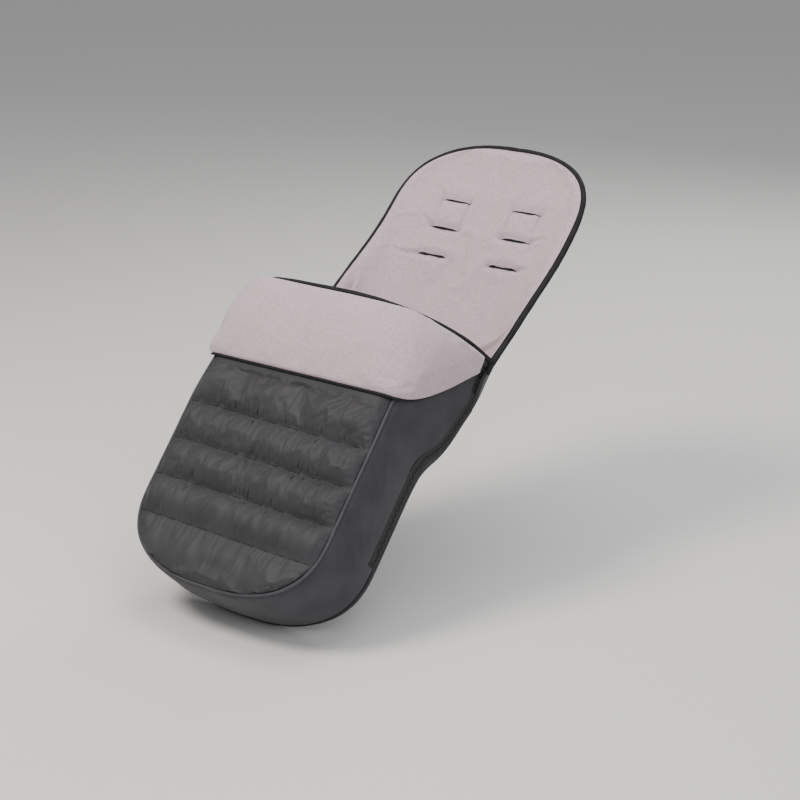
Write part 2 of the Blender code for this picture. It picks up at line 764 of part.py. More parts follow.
def zip_lengths(side):
    """Distance down the zip's middle at each of its stations."""
    points = [wall_point(place, TEETH_START + TEETH_WIDTH / 2) for place in zip_path(side)]
    lengths = [0.0]
    for before, after in zip(points, points[1:]):
        lengths.append(lengths[-1] + (after - before).length)
    return lengths


def zip_point(side, lengths, down, width):
    """Point of the wall at a distance down the zip and a width from the rim."""
    path = zip_path(side)
    index = 0
    while index < len(path) - 2 and down > lengths[index + 1]:
        index += 1
    share = (down - lengths[index]) / (lengths[index + 1] - lengths[index])
    return wall_point(path[index], width).lerp(wall_point(path[index + 1], width), share)


TOOTH_LENGTH_SHARE = 0.36
TOOTH_REACH_SHARE = 0.86
LINER_TOOTH_SHIFT = 0.25
APRON_TOOTH_SHIFT = 0.75


def tooth_stations(lengths, shift):
    """Places along the zip where each tooth begins and ends."""
    half = TOOTH_PITCH * TOOTH_LENGTH_SHARE / 2
    count = int(lengths[-1] / TOOTH_PITCH) - 1
    places = [0.0]
    for index in range(count):
        middle = (index + shift) * TOOTH_PITCH
        places += [middle - half, middle + half]
    return places + [lengths[-1]]


def make_zip_half(name, side, on_liner, material):
    """Half a zip in one piece: a woven tape with the teeth moulded along its edge."""
    lengths = zip_lengths(side)
    if on_liner:
        edge = TEETH_START - TRIM_GAP
        far = edge - TAPE_WIDTH
        tip = edge + TEETH_WIDTH * TOOTH_REACH_SHARE
    else:
        edge = TEETH_START + TEETH_WIDTH + TRIM_GAP
        far = edge + TAPE_WIDTH - TRIM_GAP
        tip = edge - TEETH_WIDTH * TOOTH_REACH_SHARE
    outside = Vector((side * TAPE_THICKNESS, 0.0, 0.0))
    shape = bmesh.new()
    rings = []
    stations = tooth_stations(lengths, LINER_TOOTH_SHIFT if on_liner else APRON_TOOTH_SHIFT)
    for down in stations:
        low = zip_point(side, lengths, down, far)
        high = zip_point(side, lengths, down, edge)
        rings.append([shape.verts.new(corner) for corner in (low, high, high + outside, low + outside)])
    edges = []
    for first, second in zip(rings, rings[1:]):
        for index in range(4):
            after = (index + 1) % 4
            face = shape.faces.new([first[index], first[after], second[after], second[index]])
            if index == 1:
                edges.append(face)
    shape.faces.new(rings[0])
    shape.faces.new(rings[-1][::-1])
    for count, face in enumerate(edges):
        if count % 2 == 1:
            reach = zip_point(side, lengths, stations[count], tip) - rings[count][1].co
            made = bmesh.ops.extrude_discrete_faces(shape, faces=[face])["faces"]
            bmesh.ops.translate(shape, verts=made[0].verts, vec=reach)
    return finish_mesh(name, shape, material, math.radians(20))


def finish_mesh(name, shape, material, smooth_angle=math.radians(50)):
    bmesh.ops.recalc_face_normals(shape, faces=shape.faces)
    mesh = bpy.data.meshes.new(name)
    shape.to_mesh(mesh)
    shape.free()
    return add_object(name, mesh, material, smooth_angle)


def zip_frame(side, down, out):
    """Placing matrix on a zip: X down the zip, Y across it towards the apron, Z out of the wall."""
    lengths = zip_lengths(side)
    middle = TEETH_START + TEETH_WIDTH / 2
    here = zip_point(side, lengths, down, middle)
    below = zip_point(side, lengths, down + SLIDER_LENGTH, middle)
    along = (below - here).normalized()
    outward = Vector((side, 0.0, 0.0))
    across = outward.cross(along)
    place = here + outward * out
    return Matrix(((along.x, across.x, outward.x, place.x), (along.y, across.y, outward.y, place.y),
                   (along.z, across.z, outward.z, place.z), (0.0, 0.0, 0.0, 1.0)))


def rounded_block(shape, size, radius, segments):
    """Block of a size, centred, with every edge rounded."""
    made = bmesh.ops.create_cube(shape, size=1.0)["verts"]
    bmesh.ops.scale(shape, verts=made, vec=size)
    bmesh.ops.bevel(shape, geom=list(shape.edges), offset=radius, segments=segments, profile=0.5,
                    affect="EDGES", material=-1)


def make_slider(side, name, metal):
    """Slider plate with a crown, and the pull tab hinged just below the crown."""
    shape = bmesh.new()
    rounded_block(shape, Vector((SLIDER_LENGTH, SLIDER_WIDTH, SLIDER_THICKNESS)), SLIDER_THICKNESS * ROUNDING_SHARE, 1)
    top = max(shape.faces, key=lambda face: face.calc_center_median().z)
    bmesh.ops.inset_region(shape, faces=[top], thickness=CROWN_INSET)
    crown = bmesh.ops.extrude_discrete_faces(shape, faces=[top])["faces"][0]
    bmesh.ops.translate(shape, verts=crown.verts, vec=(0.0, 0.0, CROWN_HEIGHT))
    piece = finish_mesh(f"zip_slider_{name}", shape, metal)
    base = TAPE_THICKNESS + TRIM_GAP
    frame = zip_frame(side, SLIDER_LENGTH, base)
    piece.matrix_world = frame @ Matrix.Translation((0.0, 0.0, SLIDER_THICKNESS / 2))
    shape = bmesh.new()
    rounded_block(shape, Vector((PULL_LENGTH, PULL_WIDTH, PULL_THICKNESS)), PULL_THICKNESS * PULL_ROUNDING_SHARE, 2)
    bmesh.ops.translate(shape, verts=list(shape.verts), vec=((PULL_LENGTH - PULL_THICKNESS) / 2, 0.0, 0.0))
    pull = finish_mesh(f"zip_pull_{name}", shape, metal)
    pull.matrix_world = frame @ Matrix.Translation(pull_hinge())


def pull_hinge():
    """Place of the pull tab's hinge in the slider's own frame."""
    beyond_crown = SLIDER_LENGTH / 2 - CROWN_INSET + TRIM_GAP + PULL_THICKNESS / 2
    return Vector((beyond_crown, 0.0, SLIDER_THICKNESS + TRIM_GAP + PULL_THICKNESS / 2))


def make_zips():
    tape = make_material("zip_tape", ZIP_BLACK_COLOUR, TAPE_ROUGHNESS)
    metal = make_material("zip_slider", ZIP_BLACK_COLOUR, COATED_ROUGHNESS, METAL_SHARE)
    for side, name in SIDES:
        make_zip_half(f"liner_zip_{name}", side, True, tape)
        make_zip_half(f"apron_zip_{name}", side, False, tape)
        make_slider(side, name, metal)
        shape = bmesh.new()
        rounded_block(shape, Vector((STOP_LENGTH, TEETH_WIDTH, STOP_THICKNESS)), STOP_THICKNESS * ROUNDING_SHARE, 1)
        stop = finish_mesh(f"zip_stop_{name}", shape, metal)
        stop.matrix_world = zip_frame(side, zip_lengths(side)[-1] - STOP_LENGTH, STOP_THICKNESS / 4)


CUFF_COLUMNS = 20
CUFF_ROWS = 6
CUFF_FRONT_SHARE = 0.60
CUFF_SIDE_SHARES = ((0.60, 1.0), (0.70, 0.97), (0.80, 0.86), (0.90, 0.66), (1.0, 0.30))
CUFF_SIDE_START = 0.024
CUFF_CORNER_CURVE = 1.5


def skin_point(distance, around):
    """Point of the boot's outside, going round it from -1 (left rim) to 1 (right rim)."""
    size = abs(around)
    side = 1.0 if around >= 0.0 else -1.0
    if size <= CUFF_FRONT_SHARE:
        return panel_point(distance, around / CUFF_FRONT_SHARE)
    share = 1.0 - ((size - CUFF_FRONT_SHARE) / (1.0 - CUFF_FRONT_SHARE)) ** CUFF_CORNER_CURVE
    width = CUFF_SIDE_START + (panel_edge_width(distance, side) - CUFF_SIDE_START) * share
    return wall_point((distance, side), width)


def skin_normal(distance, around):
    step = CUFF_LENGTH / 20
    turn = 1.0 / CUFF_COLUMNS
    across = skin_point(distance, min(1.0, around + turn)) - skin_point(distance, max(-1.0, around - turn))
    along = skin_point(distance + step, around) - skin_point(distance - step, around)
    return across.cross(along).normalized()


def cuff_point(down, around, off):
    """Point of the cuff: down runs from the crest (0) to its lower edge (1)."""
    length = CUFF_LENGTH * read_table(CUFF_SIDE_SHARES, abs(around))
    distance = FRONT_LENGTH - length * down
    return skin_point(distance, around) + skin_normal(distance, around) * off


CUFF_BASE = CUFF_CLEARANCE + 2 * PIPING_RADIUS


def cuff_layer(name, near, far, material):
    around = spread(-1.0, 1.0, CUFF_COLUMNS)
    down = spread(0.0, 1.0, CUFF_ROWS)
    layers = []
    for off in (far, near):
        layers.append([[cuff_point(row, share, off(row)) for share in around] for row in down])
    return sheet_from_grid(name, layers, material)


def cuff_puff(down):
    share = CUFF_ENDS_SHARE + (1.0 - 2 * CUFF_ENDS_SHARE) * down
    return CUFF_PUFF * math.sin(math.pi * share) ** CUFF_PUFF_POWER


def make_cuff():
    base = CUFF_BASE
    back = base + CUFF_BACKING_THICKNESS
    cuff_layer("cuff_backing", lambda down: base, lambda down: back,
               make_material("cuff_backing", BLACK_CLOTH_COLOUR, TAPE_ROUGHNESS))
    cuff_layer("cuff_fleece", lambda down: back + LAYER_GAP,
               lambda down: back + LAYER_GAP + CUFF_FLEECE_THICKNESS + cuff_puff(down),
               make_material("cuff_fleece", FLEECE_COLOUR, SOFT_ROUGHNESS))
    middle = base + (CUFF_BACKING_THICKNESS + CUFF_FLEECE_THICKNESS) / 2
    edge = [(1.0, share) for share in spread(1.0, -1.0, CUFF_COLUMNS)]
    points = []
    for down, share in edge:
        point = cuff_point(down, share, middle)
        inner = cuff_point(down - 1.0 / CUFF_ROWS, share, middle)
        points.append(point + (point - inner).normalized() * (CUFF_EDGE_RADIUS + 3 * TRIM_GAP))
    binding = make_material("cuff_binding", TRIM_BLACK_COLOUR, TAPE_ROUGHNESS)
    cord("cuff_binding", points, CUFF_EDGE_RADIUS, binding)


def main():
    clear_scene()
    make_liner()
    make_panel()
    make_gusset()
    make_piping()
    make_zips()
    make_cuff()


main()
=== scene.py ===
import math
from functools import lru_cache

import bmesh
import bpy
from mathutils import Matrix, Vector, noise


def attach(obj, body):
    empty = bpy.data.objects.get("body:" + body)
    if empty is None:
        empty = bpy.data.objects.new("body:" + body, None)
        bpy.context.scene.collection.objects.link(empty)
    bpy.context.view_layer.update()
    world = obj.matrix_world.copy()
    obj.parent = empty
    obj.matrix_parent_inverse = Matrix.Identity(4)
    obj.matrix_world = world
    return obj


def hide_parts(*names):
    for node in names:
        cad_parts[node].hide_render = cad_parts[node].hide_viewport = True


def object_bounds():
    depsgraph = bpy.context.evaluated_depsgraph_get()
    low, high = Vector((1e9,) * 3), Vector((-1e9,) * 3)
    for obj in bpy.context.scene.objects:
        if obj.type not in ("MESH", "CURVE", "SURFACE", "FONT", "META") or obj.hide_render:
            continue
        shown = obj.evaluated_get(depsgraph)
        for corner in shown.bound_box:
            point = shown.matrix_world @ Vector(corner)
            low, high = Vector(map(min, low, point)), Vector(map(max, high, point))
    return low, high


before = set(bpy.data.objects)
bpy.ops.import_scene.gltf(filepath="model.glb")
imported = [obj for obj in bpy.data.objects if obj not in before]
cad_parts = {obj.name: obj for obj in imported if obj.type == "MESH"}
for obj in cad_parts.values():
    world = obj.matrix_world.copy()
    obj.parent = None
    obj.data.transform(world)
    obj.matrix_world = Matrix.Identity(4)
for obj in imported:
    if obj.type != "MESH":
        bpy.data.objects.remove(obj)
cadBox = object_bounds()

# The photograph's camera
cameraView = {"azimuth": 39.4, "elevation": 17.4, "lens": 96.4, "sensor": 36.0, "clip": (0.05, 60.0),
              "place": (2.074, -2.461, 1.054)}

# Sizes of the footmuff, in metres, as in its construction
liner = {
    "legLength": 0.300, "seatLength": 0.178, "backLength": 0.479, "legSlope": math.radians(50.6),
    "backSlope": math.radians(51.2), "kneeRadius": 0.050, "hipRadius": 0.110, "kneeY": -0.1136,
    "headHalf": 0.178, "bodyHalf": 0.184, "headCap": 0.130, "toeCap": 0.120, "wingHeight": 0.0865,
    "wingStart": 0.56, "wingCurve": 1.7, "capPower": 2.5, "thickness": 0.0139, "lift": 0.0013,
    "evenSteps": 4, "evenStep": 0.0075,
    "seatWing": ((0.0, 0.0), (0.23, 0.0), (0.37, 0.15), (0.50, 0.33), (0.64, 0.58), (0.75, 0.75),
                 (1.0, 0.95)),
    "backWing": ((0.0, 0.95), (0.157, 1.0), (0.25, 0.80), (0.37, 0.65), (0.47, 0.49), (0.59, 0.31),
                 (0.67, 0.24), (0.80, 0.19), (0.90, 0.12), (1.0, 0.0)),
}
boot = {
    "depth": 0.118, "frontLength": 0.488, "cuffLength": 0.140, "wallOffset": 0.0031, "boxyPower": 26.0,
    "rightArch": 2.3, "leftArch": 5.0, "archReach": 1.5, "zipTop": 0.157, "edgeInset": 0.0036,
    "lowestStitch": 0.082, "channelPitch": 0.0625, "zipFoot": 0.122,
}


def tableValue(table, share):
    if share <= table[0][0]:
        return table[0][1]
    for (low, lowValue), (high, highValue) in zip(table, table[1:]):
        if share <= high:
            return lowValue + (highValue - lowValue) * (share - low) / (high - low)
    return table[-1][1]


# The side profile is walked from the toe: leg, knee bend, seat, hip bend, back
kneeTangent = liner["kneeRadius"] * math.tan(liner["legSlope"] / 2)
hipTangent = liner["hipRadius"] * math.tan(liner["backSlope"] / 2)
kneeStart = liner["legLength"] - kneeTangent
kneeEnd = kneeStart + liner["kneeRadius"] * liner["legSlope"]
hipStart = kneeEnd + liner["seatLength"] - kneeTangent - hipTangent
hipEnd = hipStart + liner["hipRadius"] * liner["backSlope"]
headEnd = hipEnd + liner["backLength"] - hipTangent
kneeMiddle = (kneeStart + kneeEnd) / 2
hipMiddle = (hipStart + hipEnd) / 2
toePlace = (liner["kneeY"] - liner["legLength"] * math.cos(liner["legSlope"]),
            liner["lift"] + liner["thickness"] - liner["legLength"] * math.sin(liner["legSlope"]))


@lru_cache(maxsize=None)
def profileAt(run):  # point (y, z) and heading of the liner's face, run metres from the toe
    y, z = toePlace
    heading = liner["legSlope"]
    legs = ((0.0, kneeStart, 0.0), (kneeStart, kneeEnd, -liner["legSlope"]), (kneeEnd, hipStart, 0.0),
            (hipStart, hipEnd, liner["backSlope"]), (hipEnd, headEnd, 0.0))
    for start, end, turn in legs:
        last = run <= end or end == headEnd
        length = run - start if last else end - start
        bend = turn * length / (end - start)
        if bend == 0.0:
            y, z = y + length * math.cos(heading), z + length * math.sin(heading)
        else:
            radius = length / bend
            y += radius * (math.sin(heading + bend) - math.sin(heading))
            z += radius * (math.cos(heading) - math.cos(heading + bend))
        heading += bend
        if last:
            break
    return (y, z), heading


def backRun(share):
    return hipMiddle + (headEnd - hipMiddle) * share


@lru_cache(maxsize=None)
def wingAt(run):  # how far the side edge stands over the face, evened out over a few places
    total = 0.0
    steps = range(-liner["evenSteps"], liner["evenSteps"] + 1)
    for step in steps:
        place = run + liner["evenStep"] * step
        if place <= hipMiddle:
            total += tableValue(liner["seatWing"], (place - kneeMiddle) / (hipMiddle - kneeMiddle))
        else:
            total += tableValue(liner["backWing"], (place - hipMiddle) / (headEnd - hipMiddle))
    return liner["wingHeight"] * total / len(steps)


def capShare(distance, length):
    if distance >= length:
        return 1.0
    rest = min(1.0, max(0.0, (length - distance) / length))
    return (1.0 - rest ** liner["capPower"]) ** (1.0 / liner["capPower"])


@lru_cache(maxsize=None)
def halfWidthAt(run):
    if run < hipEnd:
        return liner["bodyHalf"] * capShare(run, liner["toeCap"])
    share = (run - hipEnd) / (headEnd - hipEnd)
    half = liner["bodyHalf"] + (liner["headHalf"] - liner["bodyHalf"]) * share
    return half * capShare(headEnd - run, liner["headCap"])


def faceDirection(run):  # square to the liner's face
    heading = profileAt(run)[1]
    return Vector((0.0, -math.sin(heading), math.cos(heading)))


def linerPoint(run, across, depth=0.0):
    (y, z), heading = profileAt(run)
    share = max(0.0, (abs(across) - liner["wingStart"]) / (1.0 - liner["wingStart"])) ** liner["wingCurve"]
    lift = wingAt(run) * share - depth
    return Vector((across * halfWidthAt(run), y - math.sin(heading) * lift, z + math.cos(heading) * lift))


zipTopRun = backRun(boot["zipTop"])


def rimRun(distance):
    if distance <= kneeStart:
        return distance
    return kneeStart + (zipTopRun - kneeStart) * (distance - kneeStart) / (boot["frontLength"] - kneeStart)


@lru_cache(maxsize=None)
def bootEnds(distance):  # rim point and front point of the boot's cross-section, as (y, z)
    run = rimRun(distance)
    (y, z), heading = profileAt(run)
    lift = wingAt(run)
    rim = (y - math.sin(heading) * lift, z + math.cos(heading) * lift)
    slope = liner["legSlope"]
    front = (toePlace[0] + distance * math.cos(slope) - boot["depth"] * math.sin(slope),
             toePlace[1] + distance * math.sin(slope) + boot["depth"] * math.cos(slope))
    return rim, front


@lru_cache(maxsize=None)
def archPower(distance, right):  # boxy low down and arched at the mouth, more so on the right
    start = boot["frontLength"] - boot["archReach"] * boot["cuffLength"]
    share = min(1.0, max(0.0, (distance - start) / (boot["frontLength"] - start)))
    mouth = boot["rightArch"] if right else boot["leftArch"]
    return math.exp(math.log(boot["boxyPower"]) * (1.0 - share) + math.log(mouth) * share)


def bootDepth(distance):
    rim, front = bootEnds(distance)
    return math.hypot(front[0] - rim[0], front[1] - rim[1])


def bootPoint(distance, x, share):
    rim, front = bootEnds(distance)
    return Vector((x, rim[0] + (front[0] - rim[0]) * share, rim[1] + (front[1] - rim[1]) * share))


def drawnIn(distance, scale):  # round the toes, points lie further back where the section is narrower
    cap = liner["toeCap"]
    if distance >= cap:
        return distance
    return cap - (cap - distance) * (scale + boot["wallOffset"] / cap)


@lru_cache(maxsize=None)
def edgeShare(distance, right):
    return 0.5 ** (1.0 / archPower(distance, right))


@lru_cache(maxsize=None)
def wallHalf(distance):
    return halfWidthAt(rimRun(distance)) + boot["wallOffset"]


def panelPoint(distance, across, lift=0.0, inset=boot["edgeInset"]):
    power, edge = archPower(distance, across >= 0.0), edgeShare(distance, across >= 0.0)
    share = across * (edge - inset / liner["bodyHalf"])
    deep = (1.0 - min(1.0, abs(share)) ** power) ** (1.0 / power)
    inward = edge - inset / liner["toeCap"]
    return bootPoint(drawnIn(distance, inward), share * wallHalf(distance), deep + lift / bootDepth(distance))


def wallPoint(distance, side, width):
    share = width / bootDepth(distance)
    power = archPower(distance, side >= 0.0)
    scale = (1.0 - min(1.0, max(0.0, share)) ** power) ** (1.0 / power)
    return bootPoint(drawnIn(distance, scale), side * scale * wallHalf(distance), share)


def edgeWidth(distance, side):
    return bootDepth(distance) * edgeShare(distance, side >= 0.0)


def capDistances(length, count):
    return [length * (1.0 - max(0.0, math.cos(math.pi / 2 * step / count)) ** (2.0 / liner["capPower"]))
            for step in range(1, count + 1)]


def spread(start, end, count):
    return [start + (end - start) * step / count for step in range(count + 1)]


def smoothStep(low, high, value):
    share = min(1.0, max(0.0, (value - low) / (high - low)))
    return share * share * (3.0 - 2.0 * share)


def noiseAt(x, y, z):
    return noise.noise(Vector((x, y, z)))


# Mesh helpers
def addObject(name, data):
    made = bpy.data.objects.new(name, data)
    bpy.context.scene.collection.objects.link(made)
    return made


def meshFrom(shape, name):
    mesh = bpy.data.meshes.new(name)
    shape.to_mesh(mesh)
    shape.free()
    return mesh


# A sewn cord, or a tape rolled over an edge
def cordPiece(name, points, radius, material, sides=6, lumps=0.0):
    curve = bpy.data.curves.new(name, "CURVE")
    curve.dimensions = "3D"
    curve.bevel_depth = radius
    curve.bevel_resolution = sides
    curve.use_fill_caps = True
    curve.resolution_u = 6
    spline = curve.splines.new("BEZIER")
    spline.bezier_points.add(len(points) - 1)
    for index, (target, point) in enumerate(zip(spline.bezier_points, points)):
        target.co = point
        target.handle_left_type = target.handle_right_type = "AUTO"
        target.radius = 1.0 + lumps * noise.noise(Vector(point) * 60.0)
    holder = addObject(name + "Line", curve)
    graph = bpy.context.evaluated_depsgraph_get()
    mesh = bpy.data.meshes.new_from_object(holder.evaluated_get(graph))
    bpy.data.objects.remove(holder)
    mesh.shade_smooth()
    mesh.materials.clear()
    mesh.materials.append(material)
    return addObject(name, mesh)


def joinPieces(name, parts):  # several parts in one mesh, for wear() to dress
    shape = bmesh.new()
    for part in parts:
        shape.from_mesh(part.data)
        bpy.data.objects.remove(part)
    mesh = meshFrom(shape, name)
    mesh.shade_smooth()
    return addObject(name, mesh)


# Materials. Pattern sizes are in millimetres; texture space is in metres. The cloths' threads lie about
# 0.3 mm apart, which is too fine for the render, so their weave is drawn about three times as coarse.
def linearColour(code):  # "#rrggbb" of the screen to the linear colour that a shader wants
    channels = [int(code[place:place + 2], 16) / 255 for place in (1, 3, 5)]
    linear = [value / 12.92 if value <= 0.04045 else ((value + 0.055) / 1.055) ** 2.4 for value in channels]
    return linear + [1.0]


def addNode(tree, kind, inputs=None, links=None, **settings):
    node = tree.nodes.new(kind)
    for key, value in settings.items():
        setattr(node, key, value)
    for key, value in (inputs or {}).items():
        node.inputs[key].default_value = value
    for key, socket in (links or {}).items():
        tree.links.new(socket, node.inputs[key])
    return node


def reliefHeight(tree, space, kind, size):  # height pattern of a bump: fibres, woven threads, ribs or dots
    scale = 1000.0 / size
    if kind == "fibres":
        noiseNode = addNode(tree, "ShaderNodeTexNoise", {"Scale": scale, "Detail": 5.0, "Roughness": 0.65},
                            {"Vector": space})
        return noiseNode.outputs["Fac"]
    if kind == "dots":
        cells = addNode(tree, "ShaderNodeTexVoronoi", {"Scale": scale, "Randomness": 0.0}, {"Vector": space})
        ramp = addNode(tree, "ShaderNodeMapRange", {"From Min": 0.42, "From Max": 0.30},
                       {"Value": cells.outputs[0]})
        return ramp.outputs[0]
    waves = []
    for direction in ("X", "Y"):
        wave = addNode(tree, "ShaderNodeTexWave", {"Scale": scale / math.pi, "Distortion": 0.15},
                       {"Vector": space}, bands_direction=direction)
        waves.append(wave.outputs["Fac"])
    if kind == "ribs":
        return waves[0]
    threads = addNode(tree, "ShaderNodeMath", None, {0: waves[0], 1: waves[1]}, operation="MULTIPLY")
    return threads.outputs[0]


def clothMaterial(name, look):
    material = bpy.data.materials.new(name)
    material.use_nodes = True
    tree = material.node_tree
    shader = tree.nodes["Principled BSDF"]
    coordinates = addNode(tree, "ShaderNodeTexCoord")
    objectSpace, clothSpace = coordinates.outputs["Object"], coordinates.outputs["UV"]
    tone = addNode(tree, "ShaderNodeTexNoise", {"Scale": 1000.0 / look["toneSize"], "Detail": 3.0},
                   {"Vector": objectSpace})
    ramp = addNode(tree, "ShaderNodeValToRGB", None, {"Fac": tone.outputs["Fac"]})
    for element, place, code in zip(ramp.color_ramp.elements, (0.36, 0.64), look["colours"]):
        element.position = place
        element.color = linearColour(code)
    tree.links.new(ramp.outputs["Color"], shader.inputs["Base Color"])
    shader.inputs["Roughness"].default_value = look["roughness"]
    shader.inputs["Metallic"].default_value = look.get("metallic", 0.0)
    shader.inputs["Specular IOR Level"].default_value = look.get("specular", 0.3)
    shader.inputs["Sheen Weight"].default_value = look.get("sheen", 0.0)
    shader.inputs["Sheen Roughness"].default_value = 0.45
    shader.inputs["Sheen Tint"].default_value = linearColour(look.get("sheenColour", "#ffffff"))
    normal = None
    for kind, size, strength, height in look["relief"]:
        space = clothSpace if look.get("woven") else objectSpace
        links = {"Height": reliefHeight(tree, space, kind, size)}
        if normal:
            links["Normal"] = normal
        bump = addNode(tree, "ShaderNodeBump", {"Strength": strength, "Distance": height / 1000.0}, links)
        normal = bump.outputs["Normal"]
    tree.links.new(normal, shader.inputs["Normal"])
    return material


looks = {
    # Brushed polyester fleece of the lining and the cuff: pale mauve grey and soft, with hardly any shine
    "brushedFleece": {"colours": ("#b7a2aa", "#c4b1b8"), "toneSize": 3.2, "roughness": 0.96, "specular": 0.12,
                      "sheen": 0.30, "relief": (("fibres", 3.4, 0.55, 0.9), ("fibres", 1.3, 0.45, 0.5))},
    # Coated polyester of the quilted panel: charcoal with a soft grey shine
    "quiltedCloth": {"colours": ("#2e2d30", "#363538"), "toneSize": 60.0, "roughness": 0.60, "specular": 0.33,
                     "sheen": 0.06, "woven": True, "relief": (("threads", 0.8, 0.25, 0.12),)},
    # Plain woven polyester of the side wall and the back: dull charcoal
    "plainCloth": {"colours": ("#3a393d", "#424145"), "toneSize": 50.0, "roughness": 0.86, "specular": 0.2,
                   "sheen": 0.12, "woven": True, "relief": (("threads", 0.9, 0.35, 0.16),)},
    # Woven edge tape: nearly black and dull, with fine ribs
    "edgeTape": {"colours": ("#1c1b1d", "#252427"), "toneSize": 20.0, "roughness": 0.78, "specular": 0.25,
                 "relief": (("ribs", 1.2, 0.4, 0.2),)},
    # Piping folded from the panel's cloth, painted paler than that cloth all along: a painted highlight for
    # the light that the raised cord catches
    "pipingClothAndHighlight": {"colours": ("#3f3e42", "#47464a"), "toneSize": 30.0, "roughness": 0.6, "specular": 0.3,
                    "relief": (("ribs", 1.0, 0.3, 0.15),)},
    # Matt black zip: woven tape with moulded nylon teeth
    "zipNylon": {"colours": ("#1d1d1f", "#262628"), "toneSize": 15.0, "roughness": 0.58, "specular": 0.35,
                 "relief": (("fibres", 1.0, 0.2, 0.1),)},
    # Black painted metal of the sliders and their pulls: smooth, with a dark shine
    "zipMetal": {"colours": ("#202022", "#29292b"), "toneSize": 8.0, "roughness": 0.34, "specular": 0.5,
                 "metallic": 0.75, "relief": (("fibres", 0.8, 0.06, 0.05),)},
    # Anti-slip cloth under the seat: dull black, with raised dots
    "gripCloth": {"colours": ("#1f1e20", "#272628"), "toneSize": 25.0, "roughness": 0.8, "specular": 0.3,
                  "relief": (("dots", 6.0, 0.8, 0.6),)},
    # Ribbed elastic across the back: black, with no shine
    "elasticBand": {"colours": ("#19181a", "#222123"), "toneSize": 18.0, "roughness": 0.85, "specular": 0.2,
                    "relief": (("ribs", 1.6, 0.7, 0.4),)},
    # Sewing thread, in the fleece's own colour and in black
    "paleThread": {"colours": ("#a1959a", "#ada2a6"), "toneSize": 6.0, "roughness": 0.8,
                   "relief": (("fibres", 0.6, 0.3, 0.1),)},
    "darkThread": {"colours": ("#161517", "#1d1c1e"), "toneSize": 6.0, "roughness": 0.7,
                   "relief": (("fibres", 0.6, 0.3, 0.1),)},
}
materials = {name: clothMaterial(name, look) for name, look in looks.items()}


def wear(piece, name):
    piece.data.materials.clear()
    piece.data.materials.append(materials[name])


def gridVerts(shape, rows, columns):  # a new grid's vertices, each with its row and its column
    lastRow, lastColumn = len(rows) - 1, len(columns) - 1
    made = bmesh.ops.create_grid(shape, x_segments=lastRow, y_segments=lastColumn, size=1.0)
    return [(vert, round((vert.co.x + 1.0) / 2.0 * lastRow), round((vert.co.y + 1.0) / 2.0 * lastColumn))
            for vert in made["verts"]]


# Closed forms between a near and a far surface over one grid of rows and columns
def padPiece(name, rows, columns, nearAt, farAt, look, holes=(), spaceAt=None, rimLook=None):
    shape = bmesh.new()
    layer = shape.loops.layers.uv.new("cloth")
    halves = []
    for pointAt in (nearAt, farAt):
        corners = {}
        for vert, row, column in gridVerts(shape, rows, columns):
            corners[row, column] = vert
            vert.co = pointAt(rows[row], columns[column])
        halves.append(corners)
    near, far = halves
    places = {vert: key for corners in halves for key, vert in corners.items()}
    for face in list(shape.faces):
        keys = [places[vert] for vert in face.verts]
        run = sum(rows[row] for row, column in keys) / len(keys)
        across = sum(columns[column] for row, column in keys) / len(keys)
        for loop, (row, column) in zip(face.loops, keys):
            place = (rows[row], columns[column])
            loop[layer].uv = spaceAt(*place) if spaceAt else (place[0], place[1] * liner["bodyHalf"])
        if any(low <= run <= high and left <= across <= right for low, high, left, right in holes):
            shape.faces.remove(face)
    nearVerts = set(near.values())
    for edge in [edge for edge in shape.edges if len(edge.link_faces) == 1 and edge.verts[0] in nearVerts]:
        first, second = edge.verts
        rim = shape.faces.new([first, second, far[places[second]], far[places[first]]])
        rim.material_index = 1 if rimLook else 0
    loose = [vert for vert in shape.verts if not vert.link_faces]
    bmesh.ops.delete(shape, geom=loose, context="VERTS")
    bmesh.ops.delete(shape, geom=[edge for edge in shape.edges if not edge.link_faces], context="EDGES")
    bmesh.ops.recalc_face_normals(shape, faces=shape.faces)
    mesh = bpy.data.meshes.new(name)
    mesh.materials.append(materials[look])
    if rimLook:
        mesh.materials.append(materials[rimLook])
    shape.to_mesh(mesh)
    shape.free()
    mesh.shade_smooth()
    mesh.set_sharp_from_angle(angle=math.radians(60))
    return addObject(name, mesh)


settleFrames = 20  # how many frames each cloth simulation runs


